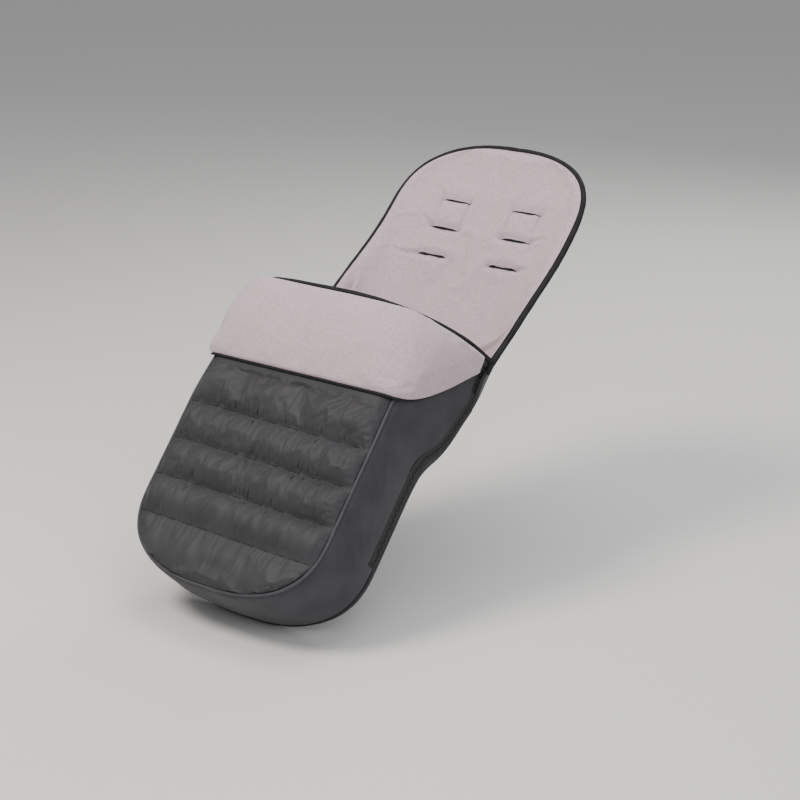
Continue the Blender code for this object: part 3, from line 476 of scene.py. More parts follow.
# One face of a pad as cloth: swollen, and held along its seams. No point moves further than the cap.
def settled(rows, columns, pointAt, heldAt, cloth):
    shape = bmesh.new()
    keys, start = [], []
    for vert, row, column in gridVerts(shape, rows, columns):
        keys.append((rows[row], columns[column]))
        vert.co = pointAt(*keys[-1])
        start.append(vert.co.copy())
    piece = addObject("settling", meshFrom(shape, "settling"))
    held = piece.vertex_groups.new(name="held")
    for index, key in enumerate(keys):
        held.add([index], heldAt(*key), "REPLACE")
    modifier = piece.modifiers.new("settling", "CLOTH")
    modifier.collision_settings.use_collision = False
    settings = modifier.settings
    settings.vertex_group_mass = "held"
    settings.quality = cloth["quality"]
    settings.mass = cloth["mass"]
    settings.air_damping = cloth["damping"]
    settings.tension_stiffness = settings.compression_stiffness = cloth["stiffness"]
    settings.bending_stiffness = cloth["bending"]
    settings.shrink_min = settings.shrink_max = -cloth["growth"]
    settings.use_pressure = True
    settings.uniform_pressure_force = cloth["pressure"]
    settings.effector_weights.gravity = 0.0
    for step in range(1, settleFrames + 1):
        bpy.context.scene.frame_set(step)
    graph = bpy.context.evaluated_depsgraph_get()
    made = bpy.data.meshes.new_from_object(piece.evaluated_get(graph))
    places = {}
    for key, first, vert in zip(keys, start, made.vertices):
        moved = vert.co - first
        if moved.length > cloth["cap"]:
            moved = moved * (cloth["cap"] / moved.length)
        places[key] = first + moved
    bpy.data.objects.remove(piece)
    bpy.context.scene.frame_set(1)
    return places


def between(marks, pitch):  # marks with even steps of about pitch metres between them
    places = [marks[0]]
    for low, high in zip(marks, marks[1:]):
        places += spread(low, high, max(1, round((high - low) / pitch)))[1:]
    return places


print("liner")
slit = {"half": 0.0275, "spacing": 0.072, "opening": 0.0056, "ends": 0.30, "gapes": (1.35, 1.0, 0.75),
        "shares": (0.560, 0.666, 0.775), "linerHalf": 0.180, "fade": 0.006, "fadeShare": 1.2,
        "crotchShare": 0.300, "crotchHalf": 0.020, "crotchOpening": 0.0036, "lip": 0.0011, "lipPast": 0.012,
        "lipSink": 0.0002, "lipOut": 0.7, "lipSteps": 24, "lipPower": 0.8}
pad = {"pitch": 0.0032, "fill": 0.0030, "edge": 0.0060, "edgeReach": 0.017, "softReach": 0.05,
       "depth": 0.0119, "back": 0.0017, "gap": 0.0003, "backEdge": 0.0045, "backReach": 0.012,
       "backRipple": 0.0006, "slitDent": 0.0052, "slitReach": 0.0070, "slitSide": 0.008, "pucker": 0.0016,
       "puckerWidth": 0.0065, "puckerReach": 0.012, "puckerSide": 0.006, "seamDent": 0.0040,
       "seamReach": 0.0036, "seamEnd": 0.004, "crotchDent": 0.0030, "crotchReach": 0.006, "wave": 0.0018,
       "waveSize": (0.060, 0.120), "ripple": 0.0012, "rippleSize": (0.022, 0.070), "rimPucker": 0.0012,
       "rimWidth": 0.011, "rimPlace": 0.009, "rimReach": 0.008, "kneeSag": 0.0050, "kneeReach": 0.034,
       "heldEdge": 0.008, "heldSlit": 0.004, "heldSeam": 0.0025, "shiftStart": 0.06,
       "shiftEnd": (0.088, 0.02), "zipShare": 0.15, "zipFade": (0.04, 0.03)}
folds = (  # depth, width, then points along the fold as shares of the back's length and of the half width
    (0.0060, 0.0044, ((0.245, 0.52), (0.267, 0.63), (0.295, 0.80), (0.322, 0.93), (0.440, 1.00))),
    (0.0075, 0.0036, ((0.300, -0.90), (0.380, -0.93), (0.470, -0.96))),
    (0.0036, 0.0036, ((0.556, -0.56), (0.548, -0.68), (0.552, -0.84))),
    (0.0034, 0.0034, ((0.668, -0.56), (0.690, -0.64), (0.712, -0.70))),
    (0.0026, 0.0050, ((0.778, -0.56), (0.800, -0.60), (0.830, -0.63))),
    (0.0022, 0.0024, ((0.764, -0.245), (0.776, -0.245), (0.796, -0.235))),
    (0.0034, 0.0034, ((0.666, 0.56), (0.680, 0.64), (0.692, 0.78))),
    (0.0030, 0.0036, ((0.776, 0.56), (0.790, 0.66), (0.806, 0.80))),
    (0.0026, 0.0030, ((0.776, 0.24), (0.790, 0.20), (0.806, 0.16))),
    (0.0030, 0.0040, ((0.560, 0.56), (0.566, 0.64), (0.580, 0.74))),
    (0.0026, 0.0090, ((0.545, -0.16), (0.450, -0.20), (0.330, -0.26))),
    (0.0022, 0.0080, ((0.540, 0.22), (0.440, 0.20), (0.300, 0.16))),
    (0.0020, 0.0075, ((0.640, -0.10), (0.560, -0.06), (0.480, -0.05))),
)
slitRuns = [backRun(share) for share in slit["shares"]]
crotchRun = kneeMiddle + (hipMiddle - kneeMiddle) * slit["crotchShare"]
slitEnds = [(slit["spacing"] + sign * slit["half"]) / slit["linerHalf"] for sign in (-1, 1)]
crotchEnd = slit["crotchHalf"] / liner["bodyHalf"]


def linerRows():
    toe = capDistances(liner["toeCap"], 16)
    head = [headEnd - distance for distance in capDistances(liner["headCap"], 34)][::-1]
    marks = [toe[-1], crotchRun - slit["crotchOpening"] / 2, crotchRun + slit["crotchOpening"] / 2, hipEnd]
    for run in slitRuns:
        marks += [run - slit["opening"] / 2, run + slit["opening"] / 2]
    marks = [mark for mark in marks if mark < head[0] - pad["pitch"] / 2]
    rows = toe + between(marks + [head[0]], pad["pitch"])[1:] + head[1:]
    for run in slitRuns:
        for edge in (run - slit["opening"] / 2, run + slit["opening"] / 2):
            nearest = min(range(len(rows)), key=lambda index: abs(rows[index] - edge))
            rows[nearest] = edge
    return rows


def linerColumns():
    half = between([0.0, crotchEnd] + slitEnds + [0.94, 1.0], pad["pitch"] / liner["bodyHalf"])
    return [-share for share in reversed(half[1:])] + half


foldLines = [(depth, reach, [(across * halfWidthAt(backRun(share)), backRun(share))
                             for share, across in points]) for depth, reach, points in folds]
linerHoles = []
for run in slitRuns:
    for low, high in ((slitEnds[0], slitEnds[1]), (-slitEnds[1], -slitEnds[0])):
        linerHoles.append((run - slit["opening"] / 2, run + slit["opening"] / 2, low, high))
linerHoles.append((crotchRun - slit["crotchOpening"] / 2, crotchRun + slit["crotchOpening"] / 2,
                   -crotchEnd, crotchEnd))


def valley(distance, reach):
    return math.exp(-(distance / reach) ** 2)


def besideBoot(run):  # the edge keeps nearly its full thickness where the zip is sewn on
    kept, (below, above) = pad["zipShare"], pad["zipFade"]
    return kept + (1.0 - kept) * smoothStep(zipTopRun - below, zipTopRun + above, run)


def foldDepth(x, run):  # each fold is a valley between two low ridges, and fades along its length
    total = 0.0
    for depth, reach, points in foldLines:
        best = None
        for index, ((startX, startRun), (endX, endRun)) in enumerate(zip(points, points[1:])):
            spanX, spanRun = endX - startX, endRun - startRun
            share = ((x - startX) * spanX + (run - startRun) * spanRun) / (spanX * spanX + spanRun * spanRun)
            held = min(1.0, max(0.0, share))
            away = math.hypot(x - startX - spanX * held, run - startRun - spanRun * held)
            if best is None or away < best[0]:
                best = (away, (index + held) / (len(points) - 1))
        away, along = best
        if away < 4.0 * reach:
            total += depth * valley(away, reach) * (1.0 - smoothStep(0.45, 1.0, along))
            total -= 0.35 * depth * valley(away - 2.2 * reach, reach) * (1.0 - smoothStep(0.35, 0.9, along))
    return total


def linerSwell(run, across):  # how far the quilted fleece stands over its smooth form
    x = across * halfWidthAt(run)
    edge = min(halfWidthAt(run) - abs(x), headEnd - run, run)
    swell = pad["fill"] - pad["edge"] * besideBoot(run) * (1.0 - smoothStep(0.0, pad["edgeReach"], edge)) ** 2
    soft = smoothStep(0.0, pad["softReach"], edge)
    for slitRun in slitRuns:
        beyond = max(0.0, abs(abs(x) - slit["spacing"]) - slit["half"])
        away = abs(run - slitRun)
        swell -= pad["slitDent"] * valley(away, pad["slitReach"]) * valley(beyond, pad["slitSide"])
        puckers = noiseAt(x / pad["puckerWidth"], slitRun * 40.0, math.copysign(2.0, run - slitRun))
        swell += pad["pucker"] * puckers * math.exp(-away / pad["puckerReach"]) \
            * valley(beyond, pad["puckerSide"]) * smoothStep(0.0, 0.004, away)
    low, high, fade = slitRuns[1], slitRuns[2], pad["seamEnd"]
    inside = smoothStep(low - fade, low + fade, run) * (1.0 - smoothStep(high - fade, high + fade, run))
    for end in (-1, 1):
        away = abs(abs(x) - (slit["spacing"] + end * slit["half"]))
        swell -= pad["seamDent"] * inside * valley(away, pad["seamReach"])
    swell -= pad["crotchDent"] * valley(run - crotchRun, pad["crotchReach"]) \
        * valley(max(0.0, abs(x) - slit["crotchHalf"]), pad["crotchReach"])
    for height, (width, length), layer in ((pad["wave"], pad["waveSize"], 3.0),
                                           (pad["ripple"], pad["rippleSize"], 9.0)):
        swell += height * soft * noiseAt(x / width, run / length, layer)
    puckers = noiseAt(x / pad["rimWidth"], run / pad["rimWidth"], 5.0)
    swell += pad["rimPucker"] * puckers * valley(edge - pad["rimPlace"], pad["rimReach"])
    return swell - foldDepth(x, run)


def cutShift(run, depth):  # the slits go straight back, so the rear layers' rows lie further up the back
    low, high = pad["shiftEnd"]
    up = smoothStep(hipEnd, hipEnd + pad["shiftStart"], run)
    up *= 1.0 - smoothStep(headEnd - low, headEnd - high, run)
    return run + depth / math.tan(liner["backSlope"]) * up


def gaping(run, across):  # a slit opens like a lens: wide in its middle and narrow at its ends
    for place, gape in zip(slitRuns, slit["gapes"]):
        away = abs(run - place)
        share = abs(abs(across) * halfWidthAt(run) - slit["spacing"]) / slit["half"]
        if away < slit["opening"] / 2 + slit["fade"] and share < slit["fadeShare"]:
            lens = gape * (slit["ends"] + (1.0 - slit["ends"]) * max(0.0, 1.0 - share * share))
            fade = 1.0 - smoothStep(0.0, slit["fade"], away - slit["opening"] / 2)
            fade *= 1.0 - smoothStep(1.0, slit["fadeShare"], share)
            return run - math.copysign(slit["opening"] / 2 * (1.0 - lens), run - place) * fade * (away > 0.0)
    return run


def linerNear(run, across):
    return linerPoint(gaping(run, across), across, -linerSwell(run, across))


def linerFar(run, across):
    edge = min(halfWidthAt(run) * (1.0 - abs(across)), headEnd - run, run)
    thin = pad["backEdge"] * besideBoot(run) * (1.0 - smoothStep(0.0, pad["backReach"], edge)) ** 2
    thin -= pad["kneeSag"] * valley(run - kneeMiddle, pad["kneeReach"])
    return linerPoint(cutShift(gaping(run, across), pad["depth"]), across, pad["depth"] - thin)


def shellNear(run, across):
    return linerFar(run, across) + (linerPoint(run, across, 1.0) - linerPoint(run, across)) * pad["gap"]


def shellFar(run, across):
    edge = min(halfWidthAt(run) * (1.0 - abs(across)), headEnd - run, run)
    ripple = pad["backRipple"] * noiseAt(across * 9.0, run / 0.05, 21.0)
    ripple *= smoothStep(0.0, 0.03, edge)
    away = linerPoint(run, across, 1.0) - linerPoint(run, across)
    return linerFar(run, across) + away * (pad["gap"] + pad["back"] + ripple)


rows, columns = linerRows(), linerColumns()


def linerHeld(run, across):  # the quilting stitches, the slits and the edges hold the fleece
    x = across * halfWidthAt(run)
    near, place = pad["heldSlit"], abs(x) - slit["spacing"]
    if min(halfWidthAt(run) - abs(x), headEnd - run, run) < pad["heldEdge"]:
        return 1.0
    if any(abs(run - slitRun) < near and abs(place) < slit["half"] + near for slitRun in slitRuns):
        return 1.0
    if slitRuns[1] <= run <= slitRuns[2] and abs(abs(place) - slit["half"]) < pad["heldSeam"]:
        return 1.0
    return 1.0 if abs(run - crotchRun) < near and abs(x) < slit["crotchHalf"] + near else 0.0


linerCloth = {"quality": 5, "mass": 0.30, "damping": 1.0, "stiffness": 12.0, "bending": 0.35, "growth": 0.008,
              "pressure": 0.9, "cap": 0.0045}
linerFace = settled(rows, columns, linerNear, linerHeld, linerCloth)
linerPad = padPiece("linerPad", rows, columns, lambda run, across: linerFace[run, across], linerFar,
                    "brushedFleece", linerHoles, rimLook="plainCloth")
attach(linerPad, "liner")
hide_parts("fleece_facing", "liner_wadding")
linerBack = padPiece("linerBack", rows, columns, shellNear, shellFar, "plainCloth", linerHoles)
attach(linerBack, "liner")
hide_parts("back_shell")

print("quilted panel")
panel = {"pitch": 0.0027, "columns": 216, "crown": 0.0100, "crownPower": 0.62, "shell": 0.0014,
         "wadding": 0.0050, "thinning": 0.85, "thinPower": 8, "lining": 0.0024, "gap": 0.0003,
         "gather": 0.0056, "gatherWidth": 0.0100, "gatherReach": 0.0120, "reachWidth": 0.012,
         "seamRise": 0.0028, "fine": 0.0008, "fineWidth": 0.0032, "crease": 0.0020,
         "creaseSize": (0.020, 0.05), "fullness": 0.18, "fullWidth": 0.055, "seamHalf": 0.0016,
         "tuck": 0.0004, "tuckWidth": 0.0048, "bend": 0.6, "bendWidth": 0.03, "longFold": 0.0018,
         "longWidth": 0.0110, "longSize": 0.10, "longReach": 0.040,
         "sideGather": 0.0046, "sideReach": 0.0110, "cornerFold": 0.0038, "cornerSize": (0.012, 0.07),
         "cornerFrom": 0.02, "cornerTo": 0.14, "flat": 0.0004, "edgePower": 22, "wander": 0.0012,
         "wanderWidth": 0.0068, "wanderReach": 0.012, "inset": 0.0012, "underCuff": 0.0048,
         "cuffOverlap": 0.012, "held": 0.985, "heldToe": 0.004, "heldSeam": 0.0006, "slant": (0.0015, 0.0070)}
creases = {"small": 0.45, "spots": 0.034, "sharp": 0.16, "smallSharp": 0.20, "faintest": 0.15, "deepest": 1.2}
stitches = [boot["lowestStitch"] + boot["channelPitch"] * count for count in range(4)]
covered = boot["frontLength"] - boot["cuffLength"] - panel["cuffOverlap"]


def panelRows():
    toe = capDistances(liner["toeCap"], 30)
    for edge in (stitches[0] - panel["seamHalf"], stitches[0] + panel["seamHalf"]):
        nearest = min(range(len(toe)), key=lambda index: abs(toe[index] - edge))
        toe[nearest] = edge
    marks = [liner["toeCap"]]
    for place in stitches[1:]:
        marks += [place - panel["seamHalf"], place + panel["seamHalf"]]
    return toe + between(marks + [boot["frontLength"]], panel["pitch"])[1:]


def paddingDepth(across):
    padding = panel["wadding"] * (1.0 - panel["thinning"] * abs(across) ** panel["thinPower"])
    return panel["shell"] + padding + 2 * panel["gap"]


# Narrow creases at uneven places along a seam, deep in some spots and faint in others
def pucker(along, width, line):
    fold = noiseAt(along / width, line * 5.3, 1.0)
    small = noiseAt(along / (creases["small"] * width), line * 3.1, 9.0)
    spot = 0.55 + 1.1 * noiseAt(along / creases["spots"], line * 7.7, 4.0)
    crease = max(0.0, 1.0 - abs(fold) / creases["sharp"])
    crease += creases["small"] * max(0.0, 1.0 - abs(small) / creases["smallSharp"])
    return -crease * min(creases["deepest"], max(creases["faintest"], spot))


def panelSwell(distance, across):
    x = across * wallHalf(distance)
    marks = [0.0] + stitches + [covered]
    index = max(place for place, mark in enumerate(marks) if mark <= distance)
    edge = 1.0 - abs(across) ** panel["edgePower"]
    if index == len(marks) - 1:
        return panel["underCuff"] * edge
    half = panel["seamHalf"]
    top = index == len(marks) - 2
    low, high = marks[index] + (half if index else 0.0), marks[index + 1] - (0.0 if top else half)
    fine = noiseAt(x / panel["fineWidth"], marks[index] * 90.0, 2.0)
    if not low < distance < high:
        centre = marks[index] if distance <= low else marks[index + 1]
        tuck = panel["tuck"] * (1.0 + 1.2 * noiseAt(x / panel["tuckWidth"], centre * 70.0, 5.0))
        return tuck * math.cos(math.pi * (distance - centre) / (2.0 * half)) * edge
    share = (distance - low) / (high - low)
    full = 1.0 + panel["fullness"] * noiseAt(x / panel["fullWidth"], index * 3.7, 0.5)
    swell = panel["crown"] * math.sin(math.pi * share) ** panel["crownPower"] * full
    if top and share > 0.5:
        swell = max(swell, panel["underCuff"])
    for away, seam in ((distance - low, index), (high - distance, index + 1)):
        if 0 < seam < len(marks) - 1:
            bend = panel["bend"] * noiseAt(x / panel["bendWidth"], seam * 9.1, 4.0)
            reach = panel["gatherReach"] * (1.0 + 0.7 * noiseAt(x / panel["reachWidth"], seam * 2.9, 6.0))
            streak = noiseAt((x - bend * away) / panel["longWidth"], seam * 8.3, away / panel["longSize"])
            near = smoothStep(0.0, panel["seamRise"], away)
            fold = pucker(x + bend * away, panel["gatherWidth"], seam)
            swell += near * math.exp(-(away / reach) ** 1.5) * (panel["gather"] * fold + panel["fine"] * fine)
            swell += near * math.exp(-away / panel["longReach"]) * panel["longFold"] * streak
    width, length = panel["creaseSize"]
    swell += panel["crease"] * math.sin(math.pi * share) * noiseAt(x / width, distance / length, 6.0)
    if top:  # slanting folds under the cuff's right corner
        slant = x * 0.8 - distance
        corner = smoothStep(panel["cornerFrom"], panel["cornerTo"], x)
        width, length = panel["cornerSize"]
        fold = noiseAt(slant / width, (x + distance) / length, 8.0)
        swell += panel["cornerFold"] * corner * math.sin(math.pi * share) * fold
    fromSide = (1.0 - abs(across)) * wallHalf(distance)
    fold = pucker(distance, 0.8 * panel["gatherWidth"], 11.0 if x > 0.0 else 13.0)
    swell += panel["sideGather"] * fold * math.exp(-fromSide / panel["sideReach"]) * math.sin(math.pi * share)
    return max(swell, panel["flat"]) * edge


def panelNear(distance, across):
    x = across * wallHalf(distance)
    seam = min(stitches, key=lambda place: abs(place - distance))
    away = abs(distance - seam)
    wander = panel["wander"] * noiseAt(x / panel["wanderWidth"], seam * 60.0, 7.0)  # not quite straight
    wander *= valley(away, panel["wanderReach"])
    wander *= 1.0 - abs(across) ** 6
    left, right = panel["slant"]  # the seams hang lower towards the right
    slant = (left + (right - left) * smoothStep(-1.0, 1.0, across)) * smoothStep(0.0, stitches[0], distance)
    slant *= 1.0 - smoothStep(stitches[-1], covered, distance)
    return panelPoint(distance + wander - slant, across, panelSwell(distance, across), panel["inset"])


def panelHeld(distance, across):  # the quilting seams, the piping and the cuff hold the coated cloth
    if abs(across) > panel["held"] or distance < panel["heldToe"] or distance > covered:
        return 1.0
    away = min(abs(place - distance) for place in stitches)
    return 1.0 if away < panel["seamHalf"] + panel["heldSeam"] else 0.0


panelGrid = panelRows()
panelColumns = spread(-1.0, 1.0, panel["columns"])
panelCloth = {"quality": 6, "mass": 0.15, "damping": 1.0, "stiffness": 18.0, "bending": 0.12, "growth": 0.024,
              "pressure": 1.4, "cap": 0.0040}
panelFace = settled(panelGrid, panelColumns, panelNear, panelHeld, panelCloth)
quiltedPanel = padPiece("quiltedPanel", panelGrid, panelColumns,
                        lambda distance, across: panelFace[distance, across],
                        lambda distance, across: panelPoint(
                            distance, across, panel["gap"] - paddingDepth(across), panel["inset"]),
                        "quiltedCloth")
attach(quiltedPanel, "apron")
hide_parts("quilted_shell", "apron_wadding")
liningRows = capDistances(liner["toeCap"], 12) + spread(liner["toeCap"], boot["frontLength"], 44)[1:]
panelLining = padPiece("panelLining", liningRows, spread(-1.0, 1.0, 48),
                       lambda distance, across: panelPoint(distance, across, -paddingDepth(across)),
                       lambda distance, across: panelPoint(
                           distance, across, -paddingDepth(across) - panel["lining"]), "brushedFleece")
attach(panelLining, "apron")
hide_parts("apron_lining")

print("side wall")
wall = {"start": 0.0175, "toeStart": 0.0028, "shell": 0.0014, "lining": 0.0024, "gap": 0.0003,
        "bulge": 0.0045, "ripple": 0.0016, "rippleSize": (0.040, 0.060), "small": 0.6,
        "smallSize": (0.016, 0.045), "edgePucker": 0.0007, "edgeWidth": 0.0075, "edgeReach": 0.07,
        "columns": 30, "edgeInset": 0.0012, "mouthClear": 0.224, "mouthFlat": 0.140, "lowerSteps": 0.4,
        "middle": 0.05}


def bootPath(sideSteps, toeSteps):  # down the right side, round the toes and up the left side
    lower = round(sideSteps * wall["lowerSteps"])
    side = spread(boot["frontLength"], kneeStart, sideSteps - lower)
    side += spread(kneeStart, boot["zipFoot"], lower)[1:] + capDistances(liner["toeCap"], toeSteps)[::-1]
    path = [(distance, 1.0) for distance in side]
    path += [(side[-1], share) for share in spread(1.0, -1.0, 12)[1:-1]]
    return path + [(distance, -1.0) for distance in reversed(side)]


def pathNormals(path):
    normals = []
    for index, (distance, side) in enumerate(path):
        before = wallPoint(*path[max(0, index - 1)], 0.0)
        after = wallPoint(*path[min(len(path) - 1, index + 1)], 0.0)
        rim, front = bootEnds(distance)
        deep = Vector((0.0, front[0] - rim[0], front[1] - rim[1]))
        normals.append(deep.cross(after - before).normalized())
    return normals


wallPath = bootPath(96, 30)
wallNormals = pathNormals(wallPath)
wallLengths = [0.0]
for before, after in zip(wallPath, wallPath[1:]):
    step = wallPoint(*after, wall["middle"]) - wallPoint(*before, wall["middle"])
    wallLengths.append(wallLengths[-1] + step.length)


def clothSpot(index, share):
    return wallLengths[index], share * boot["depth"]


def wallSpot(index, share, off):
    distance, side = wallPath[index]
    start = wall["start"] if distance > liner["toeCap"] else wall["toeStart"]
    width = start + (edgeWidth(distance, side) - wall["edgeInset"] - start) * share
    return wallPoint(distance, side, width) + wallNormals[index] * off


def wallSwell(index, share):  # padded low down, and flat at the mouth, where the cuff covers it
    distance = wallPath[index][0]
    clear = boot["frontLength"] - wall["mouthClear"]
    flat = boot["frontLength"] - wall["mouthFlat"]
    belly = 1.0 - smoothStep(clear, flat, distance)
    rise = math.sin(math.pi * share) ** 0.8
    along, over = clothSpot(index, share)
    (width, length), (smallWidth, smallLength) = wall["rippleSize"], wall["smallSize"]
    ripple = noiseAt(along / width, over / length, 12.0)
    ripple += wall["small"] * noiseAt((along + over * 0.7) / smallWidth, over / smallLength, 13.0)
    edge = noiseAt(along / wall["edgeWidth"], 14.0, math.copysign(1.0, share - 0.5))
    edge *= valley(0.5 - abs(share - 0.5), wall["edgeReach"])
    swell = wall["shell"] + belly * rise * wall["bulge"]
    swell += rise * wall["ripple"] * ripple * (0.3 + 0.7 * belly)
    return swell + wall["edgePucker"] * edge * rise


wallIndexes = list(range(len(wallPath)))
gussetWall = padPiece("gussetWall", wallIndexes, spread(0.0, 1.0, wall["columns"]),
                      lambda index, share: wallSpot(index, share, wallSwell(index, share)),
                      lambda index, share: wallSpot(index, share, wallSwell(index, share) - wall["shell"]),
                      "plainCloth", spaceAt=clothSpot)
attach(gussetWall, "apron")
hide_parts("gusset_shell")
gussetLining = padPiece("gussetLining", wallIndexes, spread(0.0, 1.0, wall["columns"]),
                        lambda index, share: wallSpot(index, share, -wall["gap"]),
                        lambda index, share: wallSpot(index, share, -wall["gap"] - wall["lining"]),
                        "brushedFleece", spaceAt=clothSpot, rimLook="plainCloth")
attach(gussetLining, "apron")
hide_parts("gusset_lining")

print("zip guards")  # a strip of cloth from the wall's edge over each zip
guard = {"near": -0.0006, "far": -0.0012, "from": -0.0010, "to": 0.0177, "columns": 4, "past": 0.0070,
         "over": 0.0060}
zipPlaces = sorted(distance for distance, side in wallPath
                   if side == 1.0 and distance > liner["toeCap"] - guard["past"])
zipPlaces.append(boot["frontLength"] + guard["over"])
for word, side in (("Left", -1.0), ("Right", 1.0)):
    faces = [lambda distance, width, off=guard[key], side=side:
             wallPoint(distance, side, width) + Vector((side * off, 0.0, 0.0)) for key in ("near", "far")]
    zipGuard = padPiece("zipGuard" + word, zipPlaces, spread(guard["from"], guard["to"], guard["columns"]),
                        *faces, "plainCloth", spaceAt=lambda distance, width: (distance, width))
    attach(zipGuard, "apron")

print("pipings and bindings")
trim = {"pipingRadius": 0.0024, "pipingLumps": 0.10, "bindingRadius": 0.0042, "gap": 0.0004, "stop": 0.0045,
        "crestLift": (-0.0010, 0.0075), "crestRadius": 0.0043, "crestLumps": 0.08, "hemRadius": 0.0038,
        "hemLumps": 0.05, "cornerWidth": 0.0070, "cornerShare": 0.12, "smoothing": 8, "tab": (
            (-0.0115, -0.0036, 0.0036), (-0.0060, -0.0034, 0.0036), (-0.0005, -0.0022, 0.0034),
            (0.0040, 0.0020, 0.0020))}  # past the end, from the rim, outwards
pipingPath = bootPath(60, 20)
pipingNormals = pathNormals(pipingPath)
points = [wallPoint(distance, side, edgeWidth(distance, side)) + normal * trim["pipingRadius"] / 2
          for (distance, side), normal in zip(pipingPath, pipingNormals)]
# The front piping's paler colour is a painted highlight along the raised cord, on cloth that is the panel's
# own charcoal
frontPiping = cordPiece("frontPiping", points, trim["pipingRadius"], materials["pipingClothAndHighlight"], 5,
                        trim["pipingLumps"])
points = [wallPoint(distance, side, 0.0) for distance, side in pipingPath if distance <= liner["toeCap"]]
toePiping = cordPiece("toePiping", points, trim["pipingRadius"], materials["edgeTape"], 5,
                      trim["pipingLumps"])


def mouthLine(stand):  # along the wall, the panel and the other wall, stand metres past their end
    distance = boot["frontLength"] + stand + trim["gap"]
    right, left = [[wallPoint(distance, side, width)
                    for width in spread(trim["cornerWidth"], edgeWidth(distance, side), 14)]
                   for side in (1.0, -1.0)]
    return right + [panelPoint(distance, share) for share in spread(1.0, -1.0, 48)[1:-1]] + left[::-1]


def crestLine():  # the mouth's edge tape, a little higher towards the right, with its ends turned in
    line = mouthLine(trim["bindingRadius"])
    tabs = [[wallPoint(boot["frontLength"] + along, side, width) + Vector((side * out, 0.0, 0.0))
             for along, width, out in trim["tab"]] for side in (1.0, -1.0)]
    lifted = []
    for index, point in enumerate(line):
        tangent = line[min(len(line) - 1, index + 1)] - line[max(0, index - 1)]
        up = Vector((0.0, math.cos(liner["legSlope"]), math.sin(liner["legSlope"])))
        corner = smoothStep(0.0, trim["cornerShare"], min(index, len(line) - 1 - index) / len(line))
        low, high = trim["crestLift"]
        lift = low + (high - low) * smoothStep(-liner["bodyHalf"], liner["bodyHalf"], point.x)
        lifted.append(point + up.cross(tangent).normalized() * lift * corner)
    return tabs[0] + lifted + tabs[1][::-1]


def rimLine():  # round the liner's edge from one zip's top over the head end to the other
    start = zipTopRun + trim["stop"]
    runs = spread(start, headEnd - liner["headCap"], 50)
    runs += [headEnd - distance for distance in capDistances(liner["headCap"], 26)[::-1]]
    edge = [(run, 1.0) for run in runs] + [(runs[-1], share) for share in spread(1.0, -1.0, 10)[1:-1]]
    edge += [(run, -1.0) for run in reversed(runs)]
    points = [linerPoint(run, share, liner["thickness"] / 2) for run, share in edge]
    placed = []
    for index, (run, share) in enumerate(edge):
        tangent = points[min(len(points) - 1, index + 1)] - points[max(0, index - 1)]
        out = tangent.cross(faceDirection(run)).normalized()
        placed.append(points[index] + out * (trim["bindingRadius"] + trim["gap"]))
    for step in range(trim["smoothing"]):
        placed[1:-1] = [(before + 2 * point + after) / 4
                        for before, point, after in zip(placed, placed[1:], placed[2:])]
    return placed


crest = cordPiece("crest", crestLine(), trim["crestRadius"], materials["edgeTape"], 6, trim["crestLumps"])
hem = cordPiece("hem", mouthLine(trim["hemRadius"]), trim["hemRadius"], materials["edgeTape"], 5,
                trim["hemLumps"])
mouthBinding = joinPieces("mouthBinding", [crest, hem])
wear(mouthBinding, "edgeTape")
rimBinding = cordPiece("rimBinding", rimLine(), trim["bindingRadius"], materials["edgeTape"], 6,
                       trim["pipingLumps"])
for piece, node, body in ((frontPiping, "front_piping", "apron"), (toePiping, "toe_piping", "liner"),
                          (mouthBinding, "mouth_binding", "apron"), (rimBinding, "rim_binding", "liner")):
    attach(piece, body)
    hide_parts(node)

print("cuff")
cuff = {"reach": 0.985, "frontShare": 0.60, "sideStart": 0.024, "cornerCurve": 1.5, "clearance": 0.0014,
        "backing": 0.0014, "fleece": 0.0060, "puff": 0.0060, "edgeRadius": 0.0030, "edgeLumps": 0.10,
        "endsShare": 0.08, "gap": 0.0003, "cornerLoss": 0.98, "cornerPower": 0.60, "cornerSlope": 0.08,
        "cornerPuff": 0.0075, "cornerAt": 0.52, "cornerSpread": 0.17, "roundEnds": 0.09, "roundEdges": 0.10,
        "thinEnds": 0.30, "thinHem": 0.20, "thinCrest": 0.15, "dent": 0.0022, "smallDent": 0.0009,
        "heldCrest": 0.02, "heldHem": 0.97, "heldEnds": 0.015, "steps": 20, "hemStep": 1.0 / 6}
cuffBase = cuff["clearance"] + 2 * trim["pipingRadius"]


def skinPoint(distance, around):  # over the front panel, then round the corner and down the side wall
    size, side = abs(around), math.copysign(1.0, around)
    if size <= cuff["frontShare"]:
        return panelPoint(distance, around / cuff["frontShare"])
    share = 1.0 - ((size - cuff["frontShare"]) / (1.0 - cuff["frontShare"])) ** cuff["cornerCurve"]
    start = cuff["sideStart"]
    return wallPoint(distance, side, start + (edgeWidth(distance, side) - start) * share)


def skinNormal(distance, around):
    step, turn = boot["cuffLength"] / cuff["steps"], 1.0 / cuff["steps"]
    across = skinPoint(distance, min(1.0, around + turn)) - skinPoint(distance, max(-1.0, around - turn))
    along = skinPoint(distance + step, around) - skinPoint(distance - step, around)
    return across.cross(along).normalized()


def cuffPoint(down, around, off):  # the cuff grows shorter towards its two sewn corners
    turned = max(0.0, (abs(around) - cuff["frontShare"]) / (1.0 - cuff["frontShare"]))
    length = boot["cuffLength"] * (1.0 - cuff["cornerSlope"] * turned)
    length *= (1.0 - cuff["cornerLoss"] * turned * turned) ** cuff["cornerPower"]
    distance = boot["frontLength"] - length * down
    return skinPoint(distance, around) + skinNormal(distance, around) * off


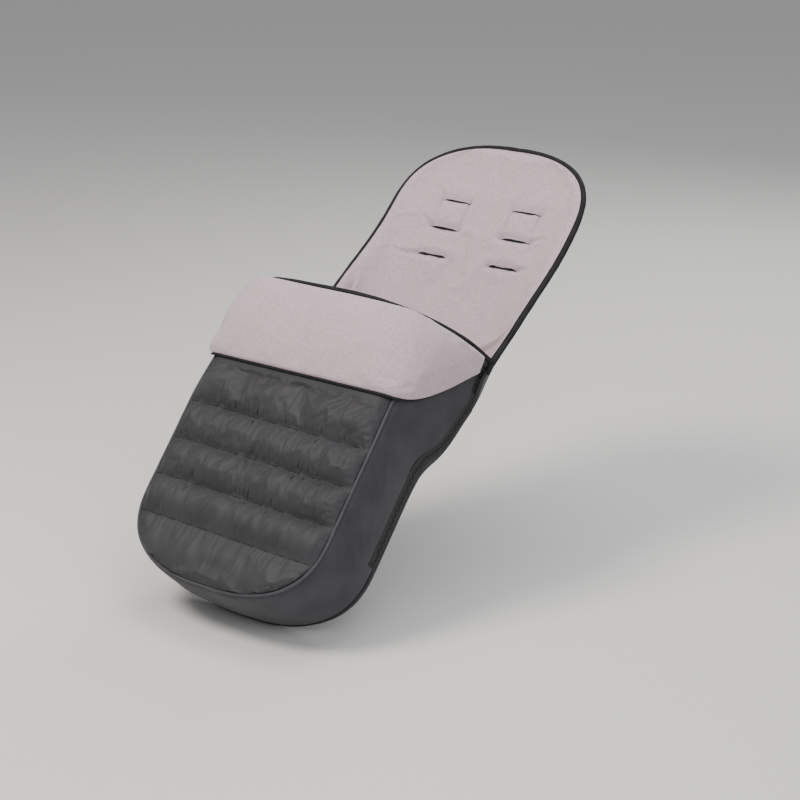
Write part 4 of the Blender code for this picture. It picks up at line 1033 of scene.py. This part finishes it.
def rounded(share):  # a quarter of a circle, from 0 at the edge to 1
    return math.sqrt(1.0 - (1.0 - min(1.0, share)) ** 2)


def cuffSwell(down, around):
    share = cuff["endsShare"] + (1.0 - 2 * cuff["endsShare"]) * down
    puff = cuff["puff"] * math.sin(math.pi * share) ** 0.5
    ends = rounded((1.0 - abs(around)) / cuff["roundEnds"])
    hem, top = rounded((1.0 - down) / cuff["roundEdges"]), rounded(down / cuff["roundEdges"])
    dents = cuff["dent"] * noiseAt(around * 3.6, down * 1.8, 17.0)
    dents += cuff["smallDent"] * noiseAt(around * 13.0, down * 4.0, 18.0)
    corner = valley(abs(around) - cuff["cornerAt"], cuff["cornerSpread"])  # fuller where it turns
    puff += cuff["cornerPuff"] * corner * (1.0 - smoothStep(0.30, 1.0, down))
    height = cuff["fleece"] + puff + dents
    for thin, share in ((cuff["thinEnds"], ends), (cuff["thinHem"], hem), (cuff["thinCrest"], top)):
        height *= thin + (1.0 - thin) * share
    return cuffBase + cuff["backing"] + cuff["gap"] + height


def cuffHeld(down, around):
    ends = abs(around) > cuff["reach"] - cuff["heldEnds"]
    return 1.0 if down < cuff["heldCrest"] or down > cuff["heldHem"] or ends else 0.0


cuffRows = [0.5 - 0.5 * math.cos(math.pi * share) for share in spread(0.0, 1.0, 44)]
cuffColumns = spread(-cuff["reach"], cuff["reach"], 170)
cuffCloth = {"quality": 5, "mass": 0.30, "damping": 1.0, "stiffness": 12.0, "bending": 0.6, "growth": 0.012,
             "pressure": 1.2, "cap": 0.0050}
cuffFace = settled(cuffRows, cuffColumns,
                   lambda down, around: cuffPoint(down, around, cuffSwell(down, around)), cuffHeld, cuffCloth)
cuffPad = padPiece("cuffPad", cuffRows, cuffColumns, lambda down, around: cuffFace[down, around],
                   lambda down, around: cuffPoint(down, around, cuffBase + cuff["backing"] + cuff["gap"]),
                   "brushedFleece", rimLook="plainCloth")
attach(cuffPad, "cuff")
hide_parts("cuff_fleece")
cuffBack = padPiece("cuffBack", spread(0.0, 1.0, 20), spread(-cuff["reach"], cuff["reach"], 80),
                    lambda down, around: cuffPoint(down, around, cuffBase + cuff["backing"]),
                    lambda down, around: cuffPoint(down, around, cuffBase), "plainCloth")
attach(cuffBack, "cuff")
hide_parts("cuff_backing")
middle = cuffBase + cuff["backing"]
points = []
for around in spread(cuff["reach"], -cuff["reach"], 80):
    point, inner = cuffPoint(1.0, around, middle), cuffPoint(1.0 - cuff["hemStep"], around, middle)
    points.append(point + (point - inner).normalized() * (cuff["edgeRadius"] / 2))
cuffEdging = cordPiece("cuffEdging", points, cuff["edgeRadius"] * 0.6, materials["edgeTape"], 5,
                       cuff["edgeLumps"])
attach(cuffEdging, "cuff")
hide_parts("cuff_binding")

print("slit edges and stitches")


def slitLoop(run, low, high, opening, lift):  # round a slit, along its lip
    gape = slit["gapes"][slitRuns.index(run)] if run in slitRuns else 1.0
    half, loop = opening / 2 * gape + slit["lip"] * slit["lipOut"], []
    for step in range(slit["lipSteps"]):
        angle = 2.0 * math.pi * step / slit["lipSteps"]
        across = (low + high) / 2 + (high - low + slit["lipPast"]) / 2 * math.cos(angle)
        away = half * math.copysign(abs(math.sin(angle)) ** slit["lipPower"], math.sin(angle))
        loop.append((run + away, across))
    return [linerPoint(place, across, -linerSwell(place, across) - lift) for place, across in loop + loop[:1]]


lips = []
for low, high, left, right in linerHoles:
    middle = min(slitRuns + [crotchRun], key=lambda place: abs(place - (low + high) / 2))
    loop = slitLoop(middle, left, right, high - low, -slit["lipSink"])
    lips.append(cordPiece("lip", loop, slit["lip"], materials["paleThread"], 3))
slitEdges = joinPieces("slitEdges", lips)
wear(slitEdges, "brushedFleece")
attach(slitEdges, "liner")
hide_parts("crotch_slit_binding", *[
    f"slit_binding_{level}_{side}" for level in ("low", "middle", "top") for side in ("left", "right")])

# Sewing thread, drawn about twice as thick as it is, or it wouldn't show
thread = {"length": 0.0030, "gap": 0.0014, "radius": 0.00042, "sides": 2, "inset": 0.002}


def stitchRow(places, length, gap, radius):  # lengths of thread along a line of (point, normal) places
    stitchesMade, travelled, nextStart = [], 0.0, 0.0
    for (first, normal), following in zip(places, places[1:]):
        second = following[0]
        reach = (second - first).length
        while nextStart + length <= travelled + reach:
            begin = first.lerp(second, max(0.0, nextStart - travelled) / reach)
            end = first.lerp(second, (nextStart + length - travelled) / reach)
            rise = normal * radius
            stitchesMade.append([begin - rise * 0.4, begin.lerp(end, 0.25) + rise,
                                 begin.lerp(end, 0.75) + rise, end - rise * 0.4])
            nextStart += length + gap
        travelled += reach
    return stitchesMade


def sewnPiece(name, lines, look):
    parts = []
    for line in lines:
        for points in stitchRow(line, thread["length"], thread["gap"], thread["radius"]):
            parts.append(cordPiece("stitch", points, thread["radius"], materials[look], thread["sides"]))
    piece = joinPieces(name, parts)
    wear(piece, look)
    return piece


lines = []
for side in (-1, 1):
    for end in (-1, 1):
        line = []
        for run in spread(slitRuns[1] + thread["inset"], slitRuns[2] - thread["inset"], 14):
            across = side * (slit["spacing"] + end * slit["half"]) / halfWidthAt(run)
            line.append((linerPoint(run, across, -linerSwell(run, across)), faceDirection(run)))
        lines.append(line)
tack = {"rows": 4, "pitch": 0.0009, "half": 0.0042, "away": 0.0006}  # the bar of thread at each end of a slit
for run in slitRuns:
    for side in (-1, 1):
        for end in (-1, 1):
            for row in range(tack["rows"]):
                x = slit["spacing"] + end * (slit["half"] + tack["away"] + tack["pitch"] * row)
                lines.append([(linerNear(place, side * x / halfWidthAt(place)), faceDirection(run))
                              for place in spread(run - tack["half"], run + tack["half"], 6)])
slitStitching = sewnPiece("slitStitching", lines, "paleThread")
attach(slitStitching, "liner")
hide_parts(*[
    f"slit_stitching_{side}_{end}" for side in ("left", "right") for end in ("inner", "outer")])
lines = []
frontDirection = Vector((0.0, -math.sin(liner["legSlope"]), math.cos(liner["legSlope"])))
for place in stitches:
    lines.append([(panelNear(place, across), frontDirection)
                  for across in spread(-panel["held"], panel["held"], 90)])
panelStitching = sewnPiece("panelStitching", lines, "darkThread")
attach(panelStitching, "apron")

print("metal, zips and tapes")
nodeLooks = {"grip_patch": "gripCloth", "back_elastic": "elasticBand"}
for part, look in (("zip_slider", "zipMetal"), ("zip_pull", "zipMetal"), ("zip_stop", "zipMetal"),
                   ("liner_zip", "zipNylon"), ("apron_zip", "zipNylon")):
    nodeLooks[part + "_left"] = nodeLooks[part + "_right"] = look
for node, look in nodeLooks.items():
    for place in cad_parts[node].material_slots:
        place.material = materials[look]

print("camera, lights and floor")
studio = {"floorHalf": 40.0, "floorDrop": 0.001, "floorColour": "#dedcd9", "floorRoughness": 0.9,
          "sky": "#eceef2", "skyStrength": 0.45}
lamps = {  # place, target, size, power and colour
    "keyLight": ((-0.75, -1.6, 2.4), (0.0, 0.0, 0.1), 1.1, 70.0, "#fffaf2"),
    "fillLight": ((2.2, -1.4, 1.5), (0.0, 0.0, 0.1), 2.2, 37.0, "#f7f8fc"),
    "topLight": ((0.2, 0.5, 2.4), (0.0, 0.0, 0.0), 1.8, 24.0, "#ffffff"),
    "backLight": ((-0.4, 2.4, 1.6), (0.0, 0.1, 0.1), 1.6, 24.0, "#ffffff"),
}


def placeCamera():
    data = bpy.data.cameras.new("photoCamera")
    data.lens = cameraView["lens"]
    data.sensor_width = cameraView["sensor"]
    data.clip_start, data.clip_end = cameraView["clip"]
    camera = addObject("photoCamera", data)
    camera.location = cameraView["place"]
    tilt = math.radians(90.0 - cameraView["elevation"])
    camera.rotation_euler = (tilt, 0.0, math.radians(cameraView["azimuth"]))
    bpy.context.scene.camera = camera


def areaLight(name, place, target, size, power, colour):
    data = bpy.data.lights.new(name, "AREA")
    data.shape = "DISK"
    data.size = size
    data.energy = power
    data.color = linearColour(colour)[:3]
    lamp = addObject(name, data)
    lamp.location = place
    lamp.rotation_euler = (Vector(target) - Vector(place)).to_track_quat("-Z", "Y").to_euler()


placeCamera()
for name, settings in lamps.items():
    areaLight(name, *settings)
world = bpy.data.worlds.new("paleRoom")
world.use_nodes = True
sky = world.node_tree.nodes["Background"]
sky.inputs["Color"].default_value = linearColour(studio["sky"])
sky.inputs["Strength"].default_value = studio["skyStrength"]
bpy.context.scene.world = world
shape = bmesh.new()
bmesh.ops.create_grid(shape, x_segments=1, y_segments=1, size=studio["floorHalf"])
bmesh.ops.translate(shape, verts=shape.verts, vec=(0.0, 0.0, cadBox[0][2] - studio["floorDrop"]))
floorMesh = meshFrom(shape, "floor")
floor = addObject("floor", floorMesh)
floorPaint = bpy.data.materials.new("paleFloor")
floorPaint.use_nodes = True
floorShader = floorPaint.node_tree.nodes["Principled BSDF"]
floorShader.inputs["Base Color"].default_value = linearColour(studio["floorColour"])
floorShader.inputs["Roughness"].default_value = studio["floorRoughness"]
floorMesh.materials.append(floorPaint)
